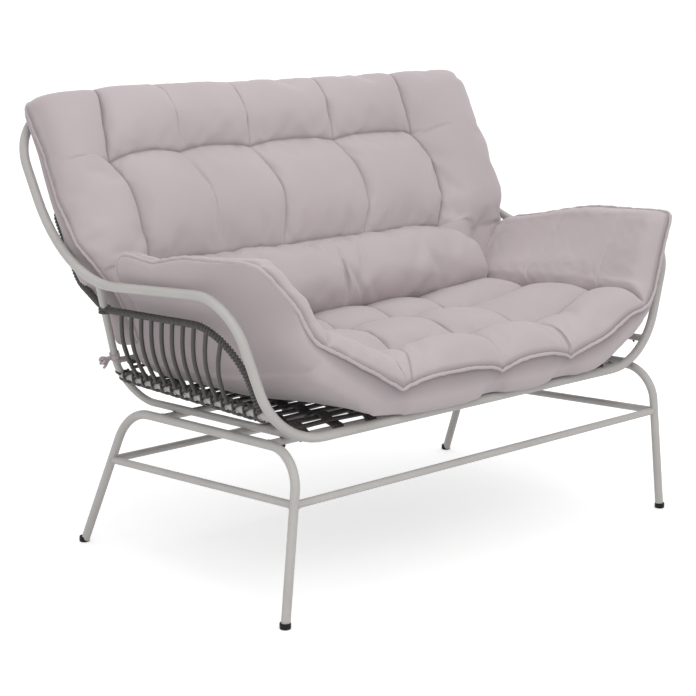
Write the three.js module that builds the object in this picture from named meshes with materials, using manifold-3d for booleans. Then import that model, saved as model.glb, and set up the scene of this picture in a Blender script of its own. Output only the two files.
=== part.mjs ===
// A two-seat garden sofa: a welded tube frame on two leg hoops, with rattan panels and quilted cushions.
// Millimetres, +Z up. The sofa faces -Y, +X is to the right of someone who looks at it from the front.

import * as THREE from 'three';
import { mergeVertices } from 'three/addons/utils/BufferGeometryUtils.js';
import Module from 'manifold-3d';

const wasm = await Module();
wasm.setup();

// Driving dimensions. Heights are above the floor, x is the distance from the middle of the sofa.

// Outside diameters of the tubes.
const loopTube = 20;
const legTube = 19;
const railTube = 16;
const boundTube = 16;
const rearTube = 13;

// Clearance that touching pieces keep.
const gap = 0.3;

// The main loop: front rail, arm, back and back rail, bent from one size of tube.
const frontCorner = { x: 558, y: -267, z: 351, bend: 164 };
const armCorner = { x: 659, y: -248, z: 650, bend: 99 };
const rearCorner = { x: 639, y: 332, z: 603, bend: 295 };
const topCorner = { x: 647, y: 521, z: 955, bend: 132 };

// The leg hoops, from the front foot over two knees to the rear foot.
const frontFoot = { x: 580.5, y: -312, z: 0 };
const frontKnee = { x: 540, y: -305, z: 345, bend: 76 };
const rearKnee = { x: 540, y: 257, z: 322, bend: 115 };
const rearFoot = { x: 573, y: 394, z: 0 };
const frontStretcherZ = 242;
const rearStretcherZ = 204;
const frontCrossY = -212;
const middleCrossY = -95;
const rearCrossY = 140;

// The lower side rails, which turn up into the rear posts.
const sideRailX = 502;
const postCornerY = 329;
const postBend = 75;
const postTopY = 200;

// Rails that carry the rattan.
const seatRailRearZ = 393;
const seatRailFrontZ = 406;
const boundRailZ = 556;
const boundCorner = { x: 628, y: -212, z: 580, bend: 120 };
const boundFootY = -222;
const rimLow = { x: 600, y: 340, z: 600, bend: 60 };
const rimTop = { x: 606, y: 420, z: 750, bend: 30 };
const rearRailZ = 428;

// Rattan panels.
const strand = 9;
const panelThickness = 8;
const panelBorder = 12;
const sideStrands = 10;
const sideRearY = 165;
const sideFrontY = -176;
const sideFootShift = 58;
const sideBelly = 14;
const backStrands = 24;
const backBandShare = 0.5;
const seatBand = 18;
const seatRowPitch = 56;
const seatColumnPitch = 92;
const seatThickness = 7;
const seatSideRise = 45;
const seatSideRun = 120;
const seatRearRun = 110;

// Foot caps, bolts and cushion ties.
const capRadius = 11.5;
const capHeight = 13;
const capFloor = 4;
const boltShank = 8;
const boltHead = 15;
const boltHeadHeight = 5;
const boltGrip = 6;
const tieWidth = 16;
const tieThickness = 3;
const tieRise = 13;
const tieKnot = 11;

// Seat cushion.
const seatSideInset = 17;
const seatFrontY = -325;
const seatRearY = 208;
const seatBorder = 74;
const seatCrown = 28;
const seatFill = 26;
const seatRollOver = 62;
const seatCornerRise = 40;
const seatCornerRun = 160;
const seatSeamsX = [-200, 30, 240];
const seatSeamsY = [-185, 30];
const drawnIn = 8;
const bendTopShare = 1.12;
const seatLift = 1.5;

// Back cushion: its rear face in side view, how far its sides keep inside the frame, its thickness and seams.
const backFoot = { y: 270, z: 478 };
const backWaist = { y: 318, z: 600 };
const backChest = { y: 398, z: 750 };
const backNeck = { y: 478, z: 905 };
const backTopInset = 21;
const backRimInset = 12;
const backFootInset = 36;
const backShoulder = 80;
const backBorder = 82;
const backCrown = 38;
const backSeamsX = [-500, -315, -120, 130, 385];
const backSeamShares = [0.255, 0.7];

// Lumbar roll in front of the foot of the back cushion.
const rollOverhang = 3;
const rollDepth = 74;
const rollTopShare = 0.25;
const rollSinkShare = 0.53;
const rollWaistShare = 0.15;
const rollSeamsX = [-200, 30, 240];

// Arm pads: the line of the inner face, and the pad above the arm rail.
const armFrontY = -300;
const armRearY = 148;
const armTopZ = 708;
const armTopRearDrop = 38;
const armFoot = { inset: 12, innerZ: 472, outerZ: 427, width: 37 };
const armThickness = 56;
const armCrown = 16;
const armFlare = 16;
const armTuck = 54;
const armTuckDrop = 82;
const armFootShare = 0.33;

// Steps and sides of the faceted curves.
const bendStep = Math.PI / 12;
const tubeSides = 12;
const thinSides = 10;
const cutterSides = 16;
const panelSteps = 4;
const rounding = 1e-6;

// Finishes.
const finish = {
  frame: { color: 0xb3b0ab, roughness: 0.5, metalness: 0.1 },
  rattan: { color: 0x3b3b3c, roughness: 0.6, metalness: 0 },
  cushion: { color: 0xbdb1b3, roughness: 0.95, metalness: 0 },
  plastic: { color: 0x141414, roughness: 0.5, metalness: 0 },
  steel: { color: 0x1b1b1b, roughness: 0.4, metalness: 0.6 },
};

const sofa = new THREE.Group();

function addPiece(name, geometry, finishName) {
  const mesh = new THREE.Mesh(geometry, new THREE.MeshStandardMaterial(finish[finishName]));
  mesh.name = name;
  sofa.add(mesh);
  return mesh;
}

// A path of straight runs and round bends, given by its stations.
class BentPath extends THREE.Curve {
  constructor(stations) {
    super();
    this.stations = stations;
  }

  getUtoTmapping(u) {
    return u;
  }

  getPoint(t, target = new THREE.Vector3()) {
    const last = this.stations.length - 1;
    const place = Math.min(Math.max(t, 0), 1) * last;
    const index = Math.min(Math.floor(place + rounding), last - 1);
    return target.lerpVectors(this.stations[index].point, this.stations[index + 1].point, place - index);
  }

  getTangent(t, target = new THREE.Vector3()) {
    const last = this.stations.length - 1;
    return target.copy(this.stations[Math.round(Math.min(Math.max(t, 0), 1) * last)].tangent);
  }
}

// Corner points with a bend radius become tangent arcs between straight runs.
function bentPath(corners) {
  const points = corners.map((corner) => new THREE.Vector3(corner.x, corner.y, corner.z));
  const heading = (from, to) => points[to].clone().sub(points[from]).normalize();
  const stations = [{ point: points[0], tangent: heading(0, 1) }];
  for (let i = 1; i < points.length - 1; i += 1) {
    const into = heading(i - 1, i);
    const out = heading(i, i + 1);
    const turn = into.angleTo(out);
    const reach = corners[i].bend * Math.tan(turn / 2);
    const start = points[i].clone().addScaledVector(into, -reach);
    const inward = out.clone().addScaledVector(into, -Math.cos(turn)).normalize();
    const steps = Math.max(2, Math.ceil(turn / bendStep));
    for (let k = 0; k <= steps; k += 1) {
      const angle = (turn * k) / steps;
      const point = start.clone()
        .addScaledVector(into, corners[i].bend * Math.sin(angle))
        .addScaledVector(inward, corners[i].bend * (1 - Math.cos(angle)));
      const tangent = into.clone().multiplyScalar(Math.cos(angle)).addScaledVector(inward, Math.sin(angle));
      stations.push({ point, tangent });
    }
  }
  const last = points.length - 1;
  stations.push({ point: points[last], tangent: heading(last - 1, last) });
  return new BentPath(stations);
}

// The stretch of a path between two of its stations.
function stretch(path, first, last) {
  return new BentPath(path.stations.slice(first, last + 1));
}

// The place where a path crosses a plane, the first one met or, with fromEnd, the last.
function crossing(path, axis, value, fromEnd = false) {
  const found = [];
  for (let i = 0; i < path.stations.length - 1; i += 1) {
    const a = path.stations[i].point;
    const b = path.stations[i + 1].point;
    if ((a[axis] - value) * (b[axis] - value) <= 0 && a[axis] !== b[axis]) {
      found.push(a.clone().lerp(b, (value - a[axis]) / (b[axis] - a[axis])));
    }
  }
  return fromEnd ? found[found.length - 1] : found[0];
}

function tube(path, diameter, sides = tubeSides) {
  const section = new THREE.Shape();
  section.absarc(0, 0, diameter / 2, 0, 2 * Math.PI, false);
  return new THREE.ExtrudeGeometry(section, {
    steps: path.stations.length - 1, curveSegments: sides / 2, extrudePath: path, bevelEnabled: false,
  });
}

function solid(geometry) {
  const bare = geometry.clone();
  bare.deleteAttribute('normal');
  bare.deleteAttribute('uv');
  const merged = mergeVertices(bare);
  return new wasm.Manifold(new wasm.Mesh({
    numProp: 3,
    vertProperties: new Float32Array(merged.attributes.position.array),
    triVerts: new Uint32Array(merged.index.array),
  }));
}

function geometryOf(body) {
  const mesh = body.getMesh();
  const geometry = new THREE.BufferGeometry();
  geometry.setAttribute('position', new THREE.BufferAttribute(new Float32Array(mesh.vertProperties), 3));
  geometry.setIndex(new THREE.BufferAttribute(new Uint32Array(mesh.triVerts), 1));
  return geometry;
}

// A body that clears a tube by the gap, all the way round its flats.
function clearOf(path, diameter) {
  return solid(tube(path, (diameter + 2 * gap) / Math.cos(Math.PI / cutterSides), cutterSides));
}

function coped(geometry, ...cutters) {
  return geometryOf(cutters.reduce((body, cutter) => body.subtract(cutter), solid(geometry)));
}

function mirrored(point, side) {
  return { ...point, x: side * point.x };
}

function straight(from, to) {
  return bentPath([from, to]);
}

// The main loop on one side, from the middle of the front rail to the middle of the back rail.
function loopPath(side) {
  const corners = [frontCorner, armCorner, rearCorner, topCorner].map((corner) => mirrored(corner, side));
  return bentPath([{ ...corners[0], x: 0 }, ...corners, { ...corners[3], x: 0 }]);
}

function hoopPath(side) {
  return bentPath([frontFoot, frontKnee, rearKnee, rearFoot].map((corner) => mirrored(corner, side)));
}

// The cushions keep inside the rails that they lie between.
const seatHalf = sideRailX - seatSideInset;
const rollHalf = seatHalf + rollOverhang;
const armFootX = sideRailX - armFoot.inset + armFoot.width;
const backHalf = topCorner.x - backTopInset;
const backHalfMiddle = rimLow.x - backRimInset;
const backHalfLow = backHalfMiddle - backFootInset;

const sides = [{ name: 'left', sign: -1 }, { name: 'right', sign: 1 }];
for (const side of sides) {
  side.loop = loopPath(side.sign);
  side.hoop = hoopPath(side.sign);
}

// Height of the lower side rail, which lies on the cross tubes.
function sideRailZ(y) {
  const front = crossing(sides[1].hoop, 'y', frontCrossY).z;
  const rear = crossing(sides[1].hoop, 'y', rearCrossY).z;
  const share = (y - frontCrossY) / (rearCrossY - frontCrossY);
  return front + (rear - front) * share + railTube + gap;
}

for (const side of sides) {
  const railX = side.sign * sideRailX;
  const postTop = crossing(side.loop, 'y', postTopY);
  const postFoot = { x: railX, y: postCornerY, z: sideRailZ(postCornerY), bend: postBend };
  side.post = bentPath([
    { x: railX, y: frontCorner.y, z: sideRailZ(frontCorner.y) }, postFoot, postTop,
  ]);
  const onPost = (z) => crossing(side.post, 'z', z, true);
  side.seatRail = straight(onPost(seatRailRearZ), crossing(side.loop, 'z', seatRailFrontZ));
  const boundFoot = crossing(side.seatRail, 'y', boundFootY);
  side.boundRail = bentPath([onPost(boundRailZ), mirrored(boundCorner, side.sign), boundFoot]);
  side.rimStart = onPost(boundRailZ);
  side.rearRailEnd = onPost(rearRailZ);
}
const [left, right] = sides;
const rim = bentPath([
  left.rimStart, mirrored(rimLow, -1), mirrored(rimTop, -1), rimTop, rimLow, right.rimStart,
]);
const rearRail = straight(left.rearRailEnd, right.rearRailEnd);

// Main loop: the straight front and back rails, and a bent side between them.
function addLoop() {
  const last = left.loop.stations.length - 1;
  const ends = sides.map((side) => [side.loop.stations[1].point, side.loop.stations[last - 1].point]);
  const rails = [['front_rail', ends[0][0], ends[1][0]], ['back_rail', ends[0][1], ends[1][1]]];
  for (const [name, from, to] of rails) {
    const inset = new THREE.Vector3(gap, 0, 0);
    const path = straight(from.clone().add(inset), to.clone().sub(inset));
    addPiece(name, tube(path, loopTube), 'frame');
  }
  for (const side of sides) {
    addPiece(`${side.name}_side_loop`, tube(stretch(side.loop, 1, last - 1), loopTube), 'frame');
  }
}

// Rear posts with the lower side rails, and the rails that carry the rattan.
function addRails() {
  for (const side of sides) {
    const loopCut = clearOf(side.loop, loopTube);
    const postCut = clearOf(side.post, railTube);
    const seatRailCut = clearOf(side.seatRail, railTube);
    const holes = boltHoles(side);
    const post = coped(tube(side.post, railTube, thinSides), loopCut, ...holes);
    addPiece(`${side.name}_side_rail`, post, 'frame');
    addPiece(`${side.name}_seat_rail`, coped(tube(side.seatRail, railTube), loopCut, postCut), 'frame');
    addPiece(`${side.name}_bound_rail`, coped(tube(side.boundRail, boundTube), postCut, seatRailCut), 'rattan');
  }
  const postCuts = sides.map((side) => clearOf(side.post, railTube));
  addPiece('back_rim', coped(tube(rim, boundTube, thinSides), ...postCuts), 'rattan');
  addPiece('rear_seat_rail', coped(tube(rearRail, rearTube, thinSides), ...postCuts), 'frame');
}

// Leg hoops end in the foot caps.
function addHoops() {
  const floorSize = 4 * Math.max(frontFoot.x, rearFoot.y);
  const ground = new THREE.BoxGeometry(floorSize, floorSize, floorSize);
  ground.translate(0, 0, capFloor - floorSize / 2);
  for (const side of sides) {
    addPiece(`${side.name}_leg_hoop`, coped(tube(side.hoop, legTube), solid(ground)), 'frame');
    const legCut = clearOf(side.hoop, legTube).subtract(solid(ground.clone().translate(0, 0, -gap)));
    for (const [end, foot] of [['front', frontFoot], ['rear', rearFoot]]) {
      const cap = new THREE.CylinderGeometry(capRadius, capRadius, capHeight, tubeSides);
      cap.rotateX(Math.PI / 2);
      cap.translate(side.sign * foot.x, foot.y, capHeight / 2);
      addPiece(`${side.name}_${end}_foot_cap`, coped(cap, legCut), 'plastic');
    }
  }
}

const crossTubes = [['front_cross_tube', frontCrossY], ['middle_cross_tube', middleCrossY],
  ['rear_cross_tube', rearCrossY]];
const boltedY = [['front', frontCrossY], ['rear', rearCrossY]];

function boltHoles(side) {
  return boltedY.map(([, y]) => {
    const radius = boltShank / 2 + gap;
    const hole = new THREE.CylinderGeometry(radius, radius, 2 * railTube, tubeSides);
    hole.rotateX(Math.PI / 2);
    const axisZ = crossing(side.hoop, 'y', y).z;
    return solid(hole.translate(side.sign * sideRailX, y, axisZ - railTube / 2 + boltGrip));
  });
}

// Stretchers and cross tubes tie the two hoops, and bolts hold the seat frame on the cross tubes.
function addBase() {
  const hoopCuts = sides.map((side) => clearOf(side.hoop, legTube));
  const holes = sides.flatMap(boltHoles);
  for (const [name, y] of crossTubes) {
    const [from, to] = sides.map((side) => crossing(side.hoop, 'y', y));
    addPiece(name, coped(tube(straight(from, to), railTube, thinSides), ...hoopCuts, ...holes), 'frame');
  }
  const stretchers = [['front_stretcher', frontStretcherZ, false], ['rear_stretcher', rearStretcherZ, true]];
  const stretcherCuts = stretchers.map(([name, z, atRear]) => {
    const [from, to] = sides.map((side) => crossing(side.hoop, 'z', z, atRear));
    const path = straight(from, to);
    addPiece(name, coped(tube(path, railTube, thinSides), ...hoopCuts), 'frame');
    return clearOf(path, railTube);
  });
  sides.forEach((side, index) => {
    const path = straight(crossing(side.hoop, 'z', frontStretcherZ), crossing(side.hoop, 'z', rearStretcherZ, true));
    const cuts = [hoopCuts[index], ...stretcherCuts];
    addPiece(`${side.name}_stretcher`, coped(tube(path, railTube, thinSides), ...cuts), 'frame');
    for (const [end, y] of boltedY) {
      addPiece(`${side.name}_${end}_bolt`, bolt(side, y), 'steel');
    }
  });
}

// A domed bolt from below: the head under the cross tube, the shank up into the side rail.
function bolt(side, y) {
  const radius = boltShank / 2;
  const length = railTube + boltGrip;
  const profile = [[0, -boltHeadHeight], [boltHead / 3, -boltHeadHeight], [boltHead / 2, -boltHeadHeight / 3],
    [boltHead / 2, 0], [radius, 0], [radius, length], [0, length]];
  const points = profile.map(([r, z]) => new THREE.Vector2(r, z));
  const geometry = new THREE.LatheGeometry(points, tubeSides);
  geometry.rotateX(Math.PI / 2);
  const axisZ = crossing(side.hoop, 'y', y).z;
  return geometry.translate(side.sign * sideRailX, y, axisZ - railTube / 2 - gap);
}

// A closed sheet over a grid of cells, with holes where a cell is open. place gives both faces.
function panel(us, vs, open, place) {
  const across = us.length;
  const vertex = (i, j, face) => (j * across + i) * 2 + face;
  const positions = vs.flatMap((v) => us.flatMap((u) => [place(u, v, -1), place(u, v, 1)]));
  const index = [];
  const quad = (a, b, c, d) => index.push(a, b, c, a, c, d);
  const filled = (i, j) => i >= 0 && j >= 0 && i < us.length - 1 && j < vs.length - 1 && !open(i, j);
  for (let j = 0; j < vs.length - 1; j += 1) {
    for (let i = 0; i < us.length - 1; i += 1) {
      if (!filled(i, j)) continue;
      quad(vertex(i, j, 1), vertex(i + 1, j, 1), vertex(i + 1, j + 1, 1), vertex(i, j + 1, 1));
      quad(vertex(i, j, 0), vertex(i, j + 1, 0), vertex(i + 1, j + 1, 0), vertex(i + 1, j, 0));
      const edges = [[i, j, i + 1, j, 0, -1], [i + 1, j, i + 1, j + 1, 1, 0],
        [i + 1, j + 1, i, j + 1, 0, 1], [i, j + 1, i, j, -1, 0]];
      for (const [a, b, c, d, di, dj] of edges) {
        if (!filled(i + di, j + dj)) quad(vertex(a, b, 0), vertex(c, d, 0), vertex(c, d, 1), vertex(a, b, 1));
      }
    }
  }
  return closedGeometry(positions, index);
}

// Only the vertices in use are kept, and a sheet whose volume comes out negative is turned out.
function closedGeometry(points, index) {
  const used = [...new Set(index)];
  const place = new Map(used.map((old, fresh) => [old, fresh]));
  const geometry = new THREE.BufferGeometry().setFromPoints(used.map((old) => points[old]));
  const order = index.map((old) => place.get(old));
  let volume = 0;
  for (let i = 0; i < index.length; i += 3) {
    volume += points[index[i]].dot(points[index[i + 1]].clone().cross(points[index[i + 2]]));
  }
  geometry.setIndex(volume > 0 ? order : order.reverse());
  return geometry;
}

// Cell borders for bars of one width at a pitch, from start to end, with a bar at both ends.
function barLines(start, end, count, width) {
  const lines = [];
  for (let i = 0; i < count; i += 1) {
    const middle = start + width / 2 + ((end - start - width) * i) / (count - 1);
    lines.push(middle - width / 2, middle + width / 2);
  }
  return lines;
}

function spread(from, to, steps) {
  return Array.from({ length: steps + 1 }, (_, i) => from + ((to - from) * i) / steps);
}

// Side panels: upright strands from the bound rail, bellied out, down to the seat rail.
function addSidePanels() {
  for (const side of sides) {
    const out = new THREE.Vector3(side.sign, 0, 0);
    const topAt = (y) => {
      const point = crossing(side.boundRail, 'y', y);
      const ahead = crossing(side.boundRail, 'y', y - strand);
      const slope = (ahead.z - point.z) / strand;
      point.z -= (boundTube / 2 + gap) * Math.hypot(1, slope);
      return point;
    };
    const footAt = (y) => {
      const point = crossing(side.seatRail, 'y', y + sideFootShift);
      return point.addScaledVector(new THREE.Vector3(0, 0, 1), railTube / 2 + gap);
    };
    const place = (y, v, face) => {
      const top = topAt(y);
      const foot = footAt(y);
      const point = top.clone().lerp(foot, v);
      point.addScaledVector(out, sideBelly * Math.sin(Math.PI * v) + (face * panelThickness) / 2);
      return point;
    };
    const us = barLines(sideFrontY, sideRearY, sideStrands, strand);
    const height = topAt(sideRearY).distanceTo(footAt(sideRearY));
    const borderShare = panelBorder / height;
    const vs = [0, ...spread(borderShare, 1 - borderShare, panelSteps), 1];
    const open = (i, j) => i % 2 === 1 && j > 0 && j < vs.length - 2;
    addPiece(`${side.name}_side_weave`, panel(us, vs, open, place), 'rattan');
  }
}

// Back panel: upright strands from the top of the rim down to the rear seat rail, tied by one band.
function addBackPanel() {
  const foot = right.rearRailEnd;
  const slope = new THREE.Vector3(0, rimTop.y - foot.y, rimTop.z - foot.z);
  const height = slope.length();
  slope.normalize();
  const normal = new THREE.Vector3(0, -slope.z, slope.y);
  const low = rearTube / 2 + gap;
  const high = height - boundTube / 2 - gap;
  const lowHalf = foot.x - boundTube;
  const highHalf = rimLow.x - rimTop.bend - gap;
  const place = (u, v, face) => {
    const along = low + (high - low) * v;
    const point = new THREE.Vector3(u * (lowHalf + (highHalf - lowHalf) * v), foot.y, foot.z);
    point.addScaledVector(slope, along);
    return point.addScaledVector(normal, (face * panelThickness) / 2);
  };
  const us = barLines(-1, 1, backStrands, strand / highHalf);
  const border = panelBorder / height;
  const band = [backBandShare - border / 2, backBandShare + border / 2];
  const vs = [0, border, ...band, 1 - border, 1];
  const open = (i, j) => i % 2 === 1 && j % 2 === 1;
  addPiece('back_weave', panel(us, vs, open, place), 'rattan');
}

// Middle height of the seat panel: flat over the cross tubes, rising to the rails round it.
const crossTopZ = crossing(right.hoop, 'y', frontCrossY).z + railTube / 2;
const weaveBaseZ = crossTopZ + gap + seatThickness / 2;
const weaveRearY = right.rearRailEnd.y - rearTube / 2 - gap;

function weaveZ(x, y, half) {
  const acrossShare = Math.max(0, Math.abs(x) - (half - seatSideRun)) / seatSideRun;
  const alongShare = Math.max(0, y - (weaveRearY - seatRearRun)) / seatRearRun;
  const rearRise = rearRailZ - weaveBaseZ;
  return weaveBaseZ + Math.max(seatSideRise * acrossShare ** 2, rearRise * alongShare ** 2);
}

function weaveHalf(y) {
  return crossing(right.seatRail, 'y', y).x - railTube / 2 - gap;
}

const seatColumns = Math.round((2 * weaveHalf(0)) / seatColumnPitch) + 1;
const seatRows = Math.round((weaveRearY - frontCrossY) / seatRowPitch) + 1;
const seatLinesU = barLines(-1, 1, seatColumns, seatBand / weaveHalf(0));
const seatLinesY = barLines(frontCrossY, weaveRearY, seatRows, seatBand);

// Height of the panel's top, which runs straight from one bar line to the next.
function weaveTop(x, y) {
  const half = weaveHalf(y);
  const u = Math.min(Math.max(x / half, -1), 1);
  const i = Math.max(1, seatLinesU.findIndex((line) => u <= line));
  const [from, to] = [seatLinesU[i - 1] * half, seatLinesU[i] * half];
  const share = (u * half - from) / (to - from);
  const height = weaveZ(from, y, half) + (weaveZ(to, y, half) - weaveZ(from, y, half)) * share;
  return height + seatThickness / 2;
}

function addSeatPanel() {
  const place = (u, y, face) => {
    const half = weaveHalf(y);
    return new THREE.Vector3(u * half, y, weaveZ(u * half, y, half) + (face * seatThickness) / 2);
  };
  const open = (i, j) => i % 2 === 1 && j % 2 === 1;
  addPiece('seat_weave', panel(seatLinesU, seatLinesY, open, place), 'rattan');
}

// Grid lines that fall on the seams, with a few steps across each quilted square.
function seamLines(from, seams, to, steps = panelSteps) {
  const stops = [from, ...seams, to];
  return stops.slice(1).flatMap((stop, i) => spread(stops[i], stop, steps).slice(i ? 1 : 0));
}

// How far a point lies across its quilted square, as the height of a round puff from 0 to 1.
function puff(value, stops) {
  const i = Math.max(1, stops.findIndex((stop, k) => k > 0 && value <= stop));
  const share = (value - stops[i - 1]) / (stops[i] - stops[i - 1]);
  return Math.sqrt(Math.max(0, Math.sin(Math.PI * Math.min(Math.max(share, 0), 1))));
}

// A cushion from two faces over one grid. The walls between the faces are drawn in at mid height.
function cushion(us, vs, under, over) {
  const across = us.length;
  const down = vs.length;
  const points = [];
  for (const face of [under, over]) {
    for (const v of vs) for (const u of us) points.push(face(u, v));
  }
  const vertex = (i, j, face) => face * across * down + j * across + i;
  const index = [];
  const quad = (a, b, c, d) => index.push(a, b, c, a, c, d);
  for (let j = 0; j < down - 1; j += 1) {
    for (let i = 0; i < across - 1; i += 1) {
      quad(vertex(i, j, 1), vertex(i + 1, j, 1), vertex(i + 1, j + 1, 1), vertex(i, j + 1, 1));
      quad(vertex(i, j, 0), vertex(i, j + 1, 0), vertex(i + 1, j + 1, 0), vertex(i + 1, j, 0));
    }
  }
  const border = [];
  for (let i = 0; i < across - 1; i += 1) border.push([i, 0]);
  for (let j = 0; j < down - 1; j += 1) border.push([across - 1, j]);
  for (let i = across - 1; i > 0; i -= 1) border.push([i, down - 1]);
  for (let j = down - 1; j > 0; j -= 1) border.push([0, j]);
  const centre = points.reduce((sum, p) => sum.add(p), new THREE.Vector3()).divideScalar(points.length);
  const first = points.length;
  for (const [i, j] of border) {
    const middle = points[vertex(i, j, 0)].clone().add(points[vertex(i, j, 1)]).multiplyScalar(0.5);
    const inward = centre.clone().sub(middle).normalize();
    points.push(middle.addScaledVector(inward, drawnIn));
  }
  border.forEach(([i, j], k) => {
    const [ni, nj] = border[(k + 1) % border.length];
    const [a, b] = [first + k, first + ((k + 1) % border.length)];
    quad(vertex(i, j, 0), vertex(ni, nj, 0), b, a);
    quad(a, b, vertex(ni, nj, 1), vertex(i, j, 1));
  });
  return closedGeometry(points, index);
}

const railTop = frontCorner.z + loopTube / 2;
const seatTopZ = railTop + gap + seatBorder;

function addSeatCushion() {
  const straightEnd = right.loop.stations[1].point.x;
  const bendTop = (x) => {
    if (Math.abs(x) <= straightEnd) return railTop;
    return crossing(right.loop, 'x', Math.abs(x)).z + (loopTube / 2) * bendTopShare;
  };
  const underZ = (x, y) => Math.max(bendTop(x), weaveTop(x, Math.max(y, frontCrossY)) + seatLift) + gap;
  const stopsX = [-seatHalf, ...seatSeamsX, seatHalf];
  const stopsY = [seatFrontY, ...seatSeamsY, seatRearY];
  const under = (x, y) => new THREE.Vector3(x, y, underZ(x, y));
  const over = (x, y) => {
    const crown = seatCrown * puff(x, stopsX) * puff(y, stopsY);
    const short = Math.max(0, 1 - (y - seatFrontY) / seatRollOver);
    const fill = seatFill * Math.sqrt(1 - short ** 2);
    const cornerShare = Math.max(0, 1 - (seatHalf - Math.abs(x)) / seatCornerRun);
    const fading = Math.min(1, (seatRearY - y) / (seatRearY - seatSeamsY[1]));
    const corner = seatCornerRise * fading * cornerShare ** 2;
    return new THREE.Vector3(x, y, seatTopZ + corner + fill + crown);
  };
  const us = seamLines(-seatHalf, seatSeamsX, seatHalf);
  const vs = seamLines(seatFrontY, seatSeamsY, seatRearY);
  addPiece('seat_cushion', cushion(us, vs, under, over), 'cushion');
}

// The rear face of the back cushion leans on the rattan and, at its top, is tangent to the back rail.
const backTopZ = topCorner.z + loopTube / 2;
const toRail = new THREE.Vector2(topCorner.z - backNeck.z, topCorner.y - backNeck.y);
const backLean = toRail.angle() - Math.asin((loopTube / 2 + gap) / toRail.length());
const backTopY = backNeck.y + (backTopZ - backNeck.z) * Math.tan(backLean);
const backLine = [backFoot, backWaist, backChest, backNeck, { y: backTopY, z: backTopZ }];

function backRear(v) {
  const z = backLine[0].z + (backTopZ - backLine[0].z) * v;
  const found = backLine.findIndex((stop, k) => k > 0 && z <= stop.z);
  const i = found < 0 ? backLine.length - 1 : found;
  const share = (z - backLine[i - 1].z) / (backLine[i].z - backLine[i - 1].z);
  const y = backLine[i - 1].y + (backLine[i].y - backLine[i - 1].y) * Math.min(share, 1);
  return { y, z };
}

const backRise = new THREE.Vector3(0, topCorner.y - backLine[0].y, backTopZ - backLine[0].z).normalize();
const backFront = new THREE.Vector3(0, -backRise.z, backRise.y);
const backStopsX = [-1, ...backSeamsX.map((x) => x / backHalf), 1];
const backStopsV = [0, ...backSeamShares, 1];

function backHalfAt(v) {
  const { z } = backRear(v);
  const stops = [[backLine[0].z, backHalfLow], [boundRailZ, backHalfMiddle], [rimLow.z, backHalfMiddle],
    [rimLow.z + backShoulder, backHalf], [backTopZ, backHalf]];
  const i = Math.max(1, stops.findIndex((stop, k) => k > 0 && z <= stop[0]));
  const share = (z - stops[i - 1][0]) / (stops[i][0] - stops[i - 1][0]);
  return stops[i - 1][1] + (stops[i][1] - stops[i - 1][1]) * share;
}

function backFace(u, v, thickness) {
  const { y, z } = backRear(v);
  return new THREE.Vector3(u * backHalfAt(v), y, z).addScaledVector(backFront, thickness);
}

function addBackCushion() {
  const puffed = (u, v) => (v < backSeamShares[0] ? 0 : puff(u, backStopsX) * puff(v, backStopsV));
  const us = seamLines(-1, backStopsX.slice(1, -1), 1);
  const vs = seamLines(0, backSeamShares, 1);
  const under = (u, v) => backFace(u, v, 0);
  const over = (u, v) => backFace(u, v, backBorder + backCrown * puffed(u, v));
  addPiece('back_cushion', cushion(us, vs, under, over), 'cushion');
}

// The roll lies on the front of the back cushion, just above the seat.
function addLumbarRoll() {
  const stops = [-rollHalf, ...rollSeamsX, rollHalf];
  const footZ = seatTopZ + seatFill + seatCrown * rollSinkShare + gap;
  const rearFootZ = footZ - (backBorder + gap) * backFront.z;
  const rollFootShare = (rearFootZ - backLine[0].z) / (backTopZ - backLine[0].z);
  const face = (x, v, depth) => {
    const place = rollFootShare + (rollTopShare - rollFootShare) * v;
    const point = backFace(0, place, backBorder + gap + depth);
    return new THREE.Vector3(x, point.y, point.z);
  };
  const under = (x, v) => face(x, v, 0);
  const over = (x, v) => {
    const round = Math.sqrt(Math.max(0, Math.sin(Math.PI * v)));
    const waist = 1 - rollWaistShare * (1 - puff(x, stops));
    const endShare = Math.min(1, (rollHalf - Math.abs(x)) / rollDepth);
    return face(x, v, drawnIn + (rollDepth - drawnIn) * round * waist * Math.sqrt(endShare));
  };
  const us = seamLines(-rollHalf, rollSeamsX, rollHalf, panelSteps + 1);
  addPiece('lumbar_roll', cushion(us, spread(0, 1, panelSteps + 2), under, over), 'cushion');
}

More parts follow.
